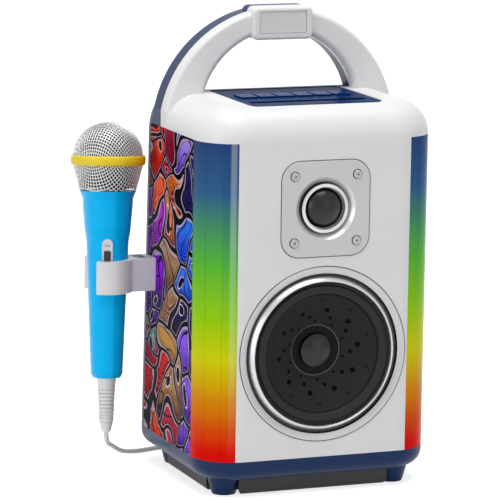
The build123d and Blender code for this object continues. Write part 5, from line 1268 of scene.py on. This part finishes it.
@dataclass
class Microphone:
    """The microphone's woven grille, the ring round it and the words on its switch plate."""

    wardrobe: Wardrobe
    nodes: dict[str, Any]
    # the CAD's point on the axis, the axis's direction and the switch's turn round it in degrees
    middle: Point = (-120.5, 43.25, 142.9)
    up: Point = (0.034031, 0.098834, 0.994522)
    turn: float = 19.0
    # the ring's middle above that point; the ball's radius, and its middle above the ring's
    ring_up: float = 82.9
    ball: float = 25.2
    ball_up: float = 2.2
    band_half: float = 3.4
    grille_end: float = 22.0
    collar: float = 20.5
    # the ring: its outer radius, how far its face bulges, and its play on the ball
    ring_out: float = 26.9
    ring_round: float = 0.9
    ring_play: float = 0.05
    # the mesh: distance between wires, their radius, how far they weave in and out, and the pattern's turn
    pitch: float = 2.35
    wire: float = 0.33
    weave: float = 0.2
    skew: float = 28.0
    word_size: float = 2.5
    word_height: float = 0.05
    # distance out of the axis, well outside the microphone, from which the words find their plate
    word_from: float = 60.0
    # each word's name, text and place along the axis, from the ring's middle
    switch_words: tuple[tuple[str, str, float], ...] = (
        ("switch_on", "ON", -60.8), ("switch_off", "OFF", -76.6),
    )

    @property
    def bed(self) -> float:
        """Radius of the surface that the wires weave about."""
        return self.ball - self.wire - self.weave

    @property
    def quarter(self) -> float:
        """Distance along the surface from the pole to the ball's widest place."""
        return self.bed * math.pi / 2

    @property
    def slope(self) -> float:
        """How far the lower half narrows over each millimetre of height."""
        return (self.ball - self.collar) / (self.grille_end - self.band_half)

    def frame(self, along: float, out: float = 0.0) -> Matrix:
        """The microphone's own frame: its X across, its Y along the axis, its Z out of the switch's face.

        Args:
            along: distance of the frame's middle above the ring's middle, in millimetres.
            out: its distance out of the axis, in millimetres.

        Returns:
            The frame's place in the object, in metres.
        """
        up = Vector(self.up)
        turn = math.radians(self.turn)
        across = Vector((math.cos(turn), -math.sin(turn), 0.0))
        front = across.cross(up).normalized()
        across = up.cross(front).normalized()
        spot = Vector(self.middle) + up * (self.ring_up + along) + front * out
        turned = Matrix((across, up, front)).transposed().to_4x4()
        return Matrix.Translation(spot * MM) @ turned

    def upper(self, reach: float) -> tuple[float, float, float, float]:
        """The upper grille's section.

        Args:
            reach: distance along the section from the pole.

        Returns:
            Radius, height above the ring's middle, and the outward direction's two parts.
        """
        if reach >= self.quarter:
            return self.bed, self.ball_up - (reach - self.quarter), 1.0, 0.0
        angle = reach / self.bed
        out, rise = math.sin(angle), math.cos(angle)
        return self.bed * out, self.ball_up + self.bed * rise, out, rise

    def lower(self, reach: float) -> tuple[float, float, float, float]:
        """The lower grille's section, from its end at the collar up to the ring."""
        drop = self.quarter - reach
        if drop <= self.band_half:
            return self.bed, -drop, 1.0, 0.0
        side = math.hypot(1.0, self.slope)
        down = (drop - self.band_half) / side
        return self.bed - self.slope * down, -self.band_half - down, 1.0 / side, -self.slope / side

    def wires(self, section: Section, near: float, far: float) -> Iterable[list[Vector]]:
        """The wires' lines, crossing over and under each other.

        Args:
            section: gives the surface at a distance from the pole.
            near: the smallest distance from the pole that has mesh.
            far: the largest.

        Yields:
            Each wire as a list of points.
        """
        count = int(far / self.pitch)
        for sets in (0, 1):
            for line in range(-count, count + 1):
                fixed = line * self.pitch
                half = math.sqrt(max(0.0, far * far - fixed * fixed))
                steps = int(half / self.pitch)
                stops = [-half, *(step * self.pitch for step in range(-steps, steps + 1)), half]
                run: list[Vector] = []
                for place in stops:
                    reach = math.hypot(fixed, place)
                    if reach < near:
                        if len(run) > 1:
                            yield run
                        run = []
                        continue
                    radius, height, out, rise = section(min(reach, far))
                    angle = math.atan2(fixed, place) if sets else math.atan2(place, fixed)
                    angle += math.radians(self.skew)
                    side = self.weave * (1 if (line + round(place / self.pitch) + sets) % 2 else -1)
                    wide = radius + out * side
                    run.append(Vector((wide * math.cos(angle), height + rise * side, wide * math.sin(angle))))
                if len(run) > 1:
                    yield run

    def grille(self, name: str, node: str, section: Section, near: float, far: float) -> None:
        """Weave one half of the grille.

        Args:
            name: the piece's name.
            node: the CAD node that it stands for.
            section: gives the surface at a distance from the pole.
            near: the smallest distance from the pole that has mesh.
            far: the largest.
        """
        curve = bpy.data.curves.new(name, "CURVE")
        curve.dimensions = "3D"
        curve.bevel_depth = self.wire * MM
        curve.bevel_resolution = 1
        for run in self.wires(section, near, far):
            line = curve.splines.new("POLY")
            line.points.add(len(run) - 1)
            for slot, point in zip(line.points, run):
                slot.co = (*(point * MM), 1.0)
        made = bpy.data.objects.new(name, curve)
        bpy.context.scene.collection.objects.link(made)
        made = as_mesh(made)
        finish_piece(made, name, "mic", self.frame(0.0), 60.0)
        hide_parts(node)
        self.wardrobe.dress(made, "mic_mesh")

    def ring(self) -> None:
        """Spin the rubber ring, with its bulging face."""
        inner, outer = self.ball + self.ring_play, self.ring_out - self.ring_round
        half = self.band_half
        bulge = [(inner, -half), (outer, -half)]
        for degrees in range(-84, 85, 14):
            angle = math.radians(degrees)
            bulge.append((outer + self.ring_round * math.cos(angle), half * math.sin(angle)))
        bulge += [(outer, half), (inner, half)]
        made = spun(bulge, 112)
        place = self.frame(0.0) @ Matrix.Rotation(-math.pi / 2, 4, "X")
        finish_piece(made, "grille_ring", "mic", place, 50.0)
        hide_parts("mic_band")
        self.wardrobe.dress(made, "band_yellow")

    def words(self) -> None:
        """Print ON above the slider and OFF below it, on the switch's plate."""
        plate = self.nodes["mic_switch_plate"]
        for name, text, along in self.switch_words:
            clear_selection()
            bpy.ops.object.text_add()
            made = bpy.context.active_object
            made.data.body = text
            made.data.align_x = "CENTER"
            made.data.align_y = "CENTER"
            made.data.size = self.word_size * MM
            made.data.extrude = self.word_height * MM
            made = as_mesh(made)
            far = self.frame(along, self.word_from)
            hit, spot, _, _ = plate.ray_cast(far.translation, -far.col[2].to_3d())
            if not hit:
                raise RuntimeError("the switch's plate isn't where its words go")
            place = Matrix.Translation(spot) @ far.to_3x3().to_4x4()
            finish_piece(made, name, "mic", place)
            self.wardrobe.dress(made, "panel_black")

    def build(self) -> None:
        """Weave the grille, and add the ring and the words."""
        self.ring()
        self.words()
        end = self.quarter
        long = self.band_half + (self.grille_end - self.band_half) * math.hypot(1.0, self.slope)
        self.grille("grille_upper_weave", "mic_grille_upper", self.upper, 0.0, end + self.ball_up)
        self.grille("grille_lower_weave", "mic_grille_lower", self.lower, end - long, end)


# ---------------------------------------------------------------- cord
@dataclass
class MicrophoneCord:
    """The microphone's cord: out of the boot, along the floor behind the cabinet, and into a tied coil."""

    diameter: float = 3.4
    coil_x: float = -30.0
    coil_y: float = 112.0
    coil_r: float = 20.5
    turns_from: float = -90.0
    per_turn: int = 16
    # share of a turn after which the cord shifts to the next bed, the last turn's share, and the swing of the
    # turn before it round the others
    shift_from: float = 0.72
    last_share: float = 0.94
    swing: float = 3.6
    plug: Point = (-9.6, 92.0, 6.0)
    # the last two control points, from the plug
    tail: tuple[Point, ...] = ((-11.0, -3.6, -0.4), (-3.4, -0.3, 0.0))
    lead: tuple[Point, ...] = (
        (-124.35, 32.07, 30.42),
        (-124.62, 31.28, 22.46),
        (-117.5, 39.5, 18.0),
        (-108.5, 53.0, 11.5),
        (-98.5, 68.5, 5.5),
        (-85.5, 80.5, 1.72),
        (-62.5, 87.8, 1.72),
        (-41.0, 87.4, 3.2),
    )
    # each turn's place in the bundle: outwards from the mean radius, and height
    beds: tuple[tuple[float, float], ...] = (
        (4.4, 2.3), (0.9, 2.3), (-2.6, 2.3), (-4.4, 5.7), (-0.9, 5.7), (2.6, 5.7), (4.4, 9.1),
        (0.9, 9.1), (-2.6, 9.1), (-6.1, 9.1), (-4.4, 12.5), (-0.9, 12.5), (2.6, 12.5), (6.6, 5.7),
    )

    def coil(self) -> Iterable[Point]:
        """Control points of the coil's turns, each turn shifting to the next bed over its last quarter."""
        final = len(self.beds) - 1
        for turn, (out, high) in enumerate(self.beds):
            following = self.beds[min(turn + 1, final)]
            for step in range(self.per_turn):
                share = step / self.per_turn
                if turn == final and share > self.last_share:
                    return
                slide = max(0.0, (share - self.shift_from) / (1.0 - self.shift_from))
                swing = self.swing * math.sin(math.pi * slide) if turn == final - 1 else 0.0
                radius = self.coil_r + out + (following[0] - out) * slide + swing
                angle = math.radians(self.turns_from + 360.0 * share)
                yield (
                    self.coil_x + radius * math.cos(angle),
                    self.coil_y + radius * math.sin(angle),
                    high + (following[1] - high) * slide,
                )

    def points(self) -> list[Point]:
        """All control points, in millimetres, from the boot to the plug."""
        tail = [tuple(a + b for a, b in zip(self.plug, step)) for step in self.tail]
        return [*self.lead, *self.coil(), *tail, self.plug]

    def build(self) -> bpy.types.Object:
        """Make the cord as one smooth curve.

        Returns:
            The curve object, with its round section.
        """
        curve = bpy.data.curves.new("mic_lead", "CURVE")
        curve.dimensions = "3D"
        curve.resolution_u = 6
        line = curve.splines.new("NURBS")
        points = self.points()
        line.points.add(len(points) - 1)
        for slot, point in zip(line.points, points):
            slot.co = (*(v * MM for v in point), 1.0)
            slot.radius = self.diameter / 2 * MM
        line.order_u = 3
        line.use_endpoint_u = True
        lead = bpy.data.objects.new("mic_lead", curve)
        bpy.context.scene.collection.objects.link(lead)
        bpy.context.view_layer.update()
        bare = bpy.data.meshes.new_from_object(lead.evaluated_get(bpy.context.evaluated_depsgraph_get()))
        spots = [v.co.copy() for v in bare.vertices]
        length = sum((b - a).length for a, b in zip(spots, spots[1:]))
        LOG.info("cord length %.4f m", length)
        # the points' radius is the cord's, so the section is of unit size
        curve.bevel_depth = 1.0
        curve.bevel_resolution = 4
        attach(lead, "cabinet")
        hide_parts("mic_cord", "mic_cord_coil")
        tuple(v * MM for v in self.lead[0])
        return lead


# ---------------------------------------------------------------- studio
@dataclass(frozen=True)
class Lamp:
    """A soft square lamp: its place and side in metres, and its power in watts."""

    name: str
    at: Point
    side: float
    power: float

    def build(self, target: Point) -> None:
        """Hang the lamp so that it looks at a target."""
        data = bpy.data.lights.new(self.name, "AREA")
        data.shape = "SQUARE"
        data.size = self.side
        data.energy = self.power
        lamp = bpy.data.objects.new(self.name, data)
        aim = Vector(target) - Vector(self.at)
        lamp.matrix_world = Matrix.Translation(self.at) @ aim.to_track_quat("-Z", "Y").to_matrix().to_4x4()
        bpy.context.scene.collection.objects.link(lamp)


@dataclass
class Studio:
    """Pale floor, soft lamps and the camera."""

    camera_at: Point = (-0.9059, -2.2555, 0.5971)
    yaw: float = 21.277
    pitch: float = 10.148
    roll: float = 0.834
    lens: float = 247.44
    sensor: float = 36.0
    reach: float = 50.0
    ambient: float = 0.34
    floor_side: float = 30.0
    floor_tones: tuple[float, float] = (0.74, 0.77)
    floor_glow: float = 0.7
    middle: Point = (0.0, 0.0, 0.15)
    lamps: tuple[Lamp, ...] = (
        Lamp("key_lamp", (-0.1, -0.25, 2.2), 1.6, 36.0),
        Lamp("fill_lamp", (0.7, -2.2, 0.8), 1.4, 3.5),
        Lamp("side_lamp", (-2.4, -0.95, 0.7), 1.4, 15.0),
    )

    def camera(self) -> None:
        """Create the camera and make it the scene's."""
        yaw, pitch, roll = (math.radians(v) for v in (self.yaw, self.pitch, self.roll))
        ahead = Vector((math.sin(yaw) * math.cos(pitch), math.cos(yaw) * math.cos(pitch), -math.sin(pitch)))
        right = Vector((math.cos(yaw), -math.sin(yaw), 0.0))
        up = right.cross(ahead)
        side = right * math.cos(roll) + up * math.sin(roll)
        top = up * math.cos(roll) - right * math.sin(roll)
        data = bpy.data.cameras.new("camera")
        data.lens = self.lens
        data.sensor_width = self.sensor
        data.sensor_fit = "HORIZONTAL"
        data.clip_end = self.reach
        eye = bpy.data.objects.new("camera", data)
        turn = Matrix((side, top, -ahead)).transposed().to_4x4()
        eye.matrix_world = Matrix.Translation(self.camera_at) @ turn
        bpy.context.scene.collection.objects.link(eye)
        bpy.context.scene.camera = eye

    def floor(self) -> None:
        """Lay a wide pale floor that keeps the object's shadow."""
        clear_selection()
        bpy.ops.mesh.primitive_plane_add(size=self.floor_side)
        ground = bpy.context.active_object
        ground.name = "floor"
        graph = Graph("floor")
        dark, pale = ((tone,) * 3 for tone in self.floor_tones)
        graph.paint(Base_Color=graph.mix(graph.noise(graph.place(), 3.0), dark, pale), Roughness=0.9)
        glow = {"Color": (self.floor_glow,) * 3, "Strength": graph.seen()}
        glow = graph.node("ShaderNodeEmission", inputs=glow)
        both = graph.node("ShaderNodeAddShader", inputs={0: graph.shader.outputs[0], 1: glow.outputs[0]})
        graph.set(graph.output.inputs["Surface"], both.outputs[0])
        ground.data.materials.append(graph.material)

    def sky(self) -> None:
        """Give the world a white view and a plain grey light."""
        world = bpy.data.worlds.new("studio")
        bpy.context.scene.world = world
        world.use_nodes = True
        tree = Tree(world.node_tree)
        light = tree.node("ShaderNodeBackground", inputs={"Color": (self.ambient,) * 3})
        view = tree.node("ShaderNodeBackground", inputs={"Color": (1.0, 1.0, 1.0)})
        shaders = {0: tree.seen(), 1: light.outputs[0], 2: view.outputs[0]}
        mixed = tree.node("ShaderNodeMixShader", inputs=shaders)
        tree.node("ShaderNodeOutputWorld", inputs={"Surface": mixed.outputs[0]})

    def build(self) -> None:
        """Set up the whole studio."""
        self.camera()
        self.floor()
        self.sky()
        for lamp in self.lamps:
            lamp.build(self.middle)
        bpy.context.scene.view_settings.view_transform = "Standard"


# ---------------------------------------------------------------- the whole
def finishes() -> tuple[Finish, ...]:
    """All finishes. All but bezel_with_groove_shade and icon_blue have the name of a slot of the record."""
    axis = (Microphone.middle, Microphone.up)
    return (
        Moulded("shell_white", srgb(228, 228, 229), rough=0.34),
        Moulded("shell_navy", srgb(8, 42, 86), rough=0.36, index=1.28),
        # base_black: the near black under the base, between the feet, stands for the shade there: painted
        # shade
        Moulded("base_black", srgb(26, 27, 30), rough=0.55, relief=0.00003),
        Moulded("pad_rubber", srgb(40, 40, 44), rough=0.7, relief=0.00004),
        SidePrint("side_print", BAR_FOOT, BAR_TOP),
        LightBar("light_diffuser", BAR_FOOT, BAR_TOP),
        Board("circuit_board", srgb(16, 92, 52), srgb(52, 138, 74), srgb(206, 200, 188)),
        Moulded("panel_navy", srgb(6, 44, 92), rough=0.2, relief=0.000004, index=1.025),
        Moulded("key_navy", srgb(6, 42, 96), rough=0.22, relief=0.000006, index=1.06),
        Moulded("icon_blue", srgb(74, 112, 168), rough=0.5),
        Moulded("inlay_grey", srgb(221, 221, 222), rough=0.42),
        SpeakerPlate("plate_silver", srgb(196, 196, 197), srgb(232, 232, 234), TWEETER_UP, 22.2),
        # the woofer's bezel: satin silver, with its groove's inner wall inside the well radius painted near
        # black as painted shade
        SpeakerPlate("bezel_with_groove_shade", srgb(180, 181, 183), srgb(8, 8, 9), WOOFER_UP, 57.25, metal=0.7),
        Turned("chrome_ring", srgb(198, 199, 201), WOOFER_UP, rough=0.28, metal=0.8),
        Domes("dome_black", srgb(14, 14, 15), srgb(5, 5, 6), WOOFER_UP),
        Steel("magnet_grey", srgb(64, 66, 70), rough=0.6, relief=0.00003, metal=0.3),
        Steel("screw_steel", srgb(160, 161, 164), rough=0.3),
        Steel("basket_steel", srgb(20, 20, 22), rough=0.5, relief=0.00002, metal=0.2),
        Moulded("surround_rubber", srgb(36, 36, 38), rough=0.5, relief=0.00003, cloud=0.08, gloss=0.2),
        Woven("spider_cloth", srgb(214, 184, 112)),
        ConePaper("cone_black", srgb(45, 45, 46), srgb(1, 1, 1), WOOFER_UP),
        Winding("coil_copper", srgb(196, 112, 62)),
        Moulded("panel_black", srgb(24, 24, 27), rough=0.42, relief=0.00002),
        Steel("port_steel", srgb(196, 198, 202), rough=0.22, along=(2200.0, 60.0, 2200.0)),
        ShrinkWrap("battery_wrap", srgb(38, 104, 176), 60.0),
        MicrophonePaint("mic_blue", srgb(0, 186, 255), srgb(0, 210, 255), *axis, (32.2, 13.6)),
        Steel("mic_mesh", srgb(218, 219, 221), rough=0.34, relief=0.000004, scuff=0.1, metal=0.6),
        Moulded("band_yellow", srgb(236, 206, 22), rough=0.45, relief=0.00002),
        OpenFoam("foam_black", srgb(6, 6, 7)),
        Steel("capsule_metal", srgb(178, 180, 184), rough=0.35),
        Moulded("switch_white", srgb(226, 224, 232), rough=0.35),
        RibbedBoot("boot_white", srgb(236, 236, 237), *axis, -108.0, -82.0),
        Moulded("cord_white", srgb(228, 228, 228), rough=0.45, relief=0.00001),
    )


def main() -> None:
    """Load the frame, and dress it."""
    logging.basicConfig(level=logging.INFO, format="%(message)s")
    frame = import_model()
    Studio().build()
    lead = MicrophoneCord().build()
    wardrobe = Wardrobe(frame["record"], finishes())
    wardrobe.dress_nodes(frame["nodes"])
    wardrobe.dress(lead, "cord_white")
    Speakers(FACE, TWEETER_UP, WOOFER_UP, wardrobe).build()
    KeyIcons(wardrobe).build()
    Microphone(wardrobe, frame["nodes"]).build()


if __name__ == "__main__":
    main()
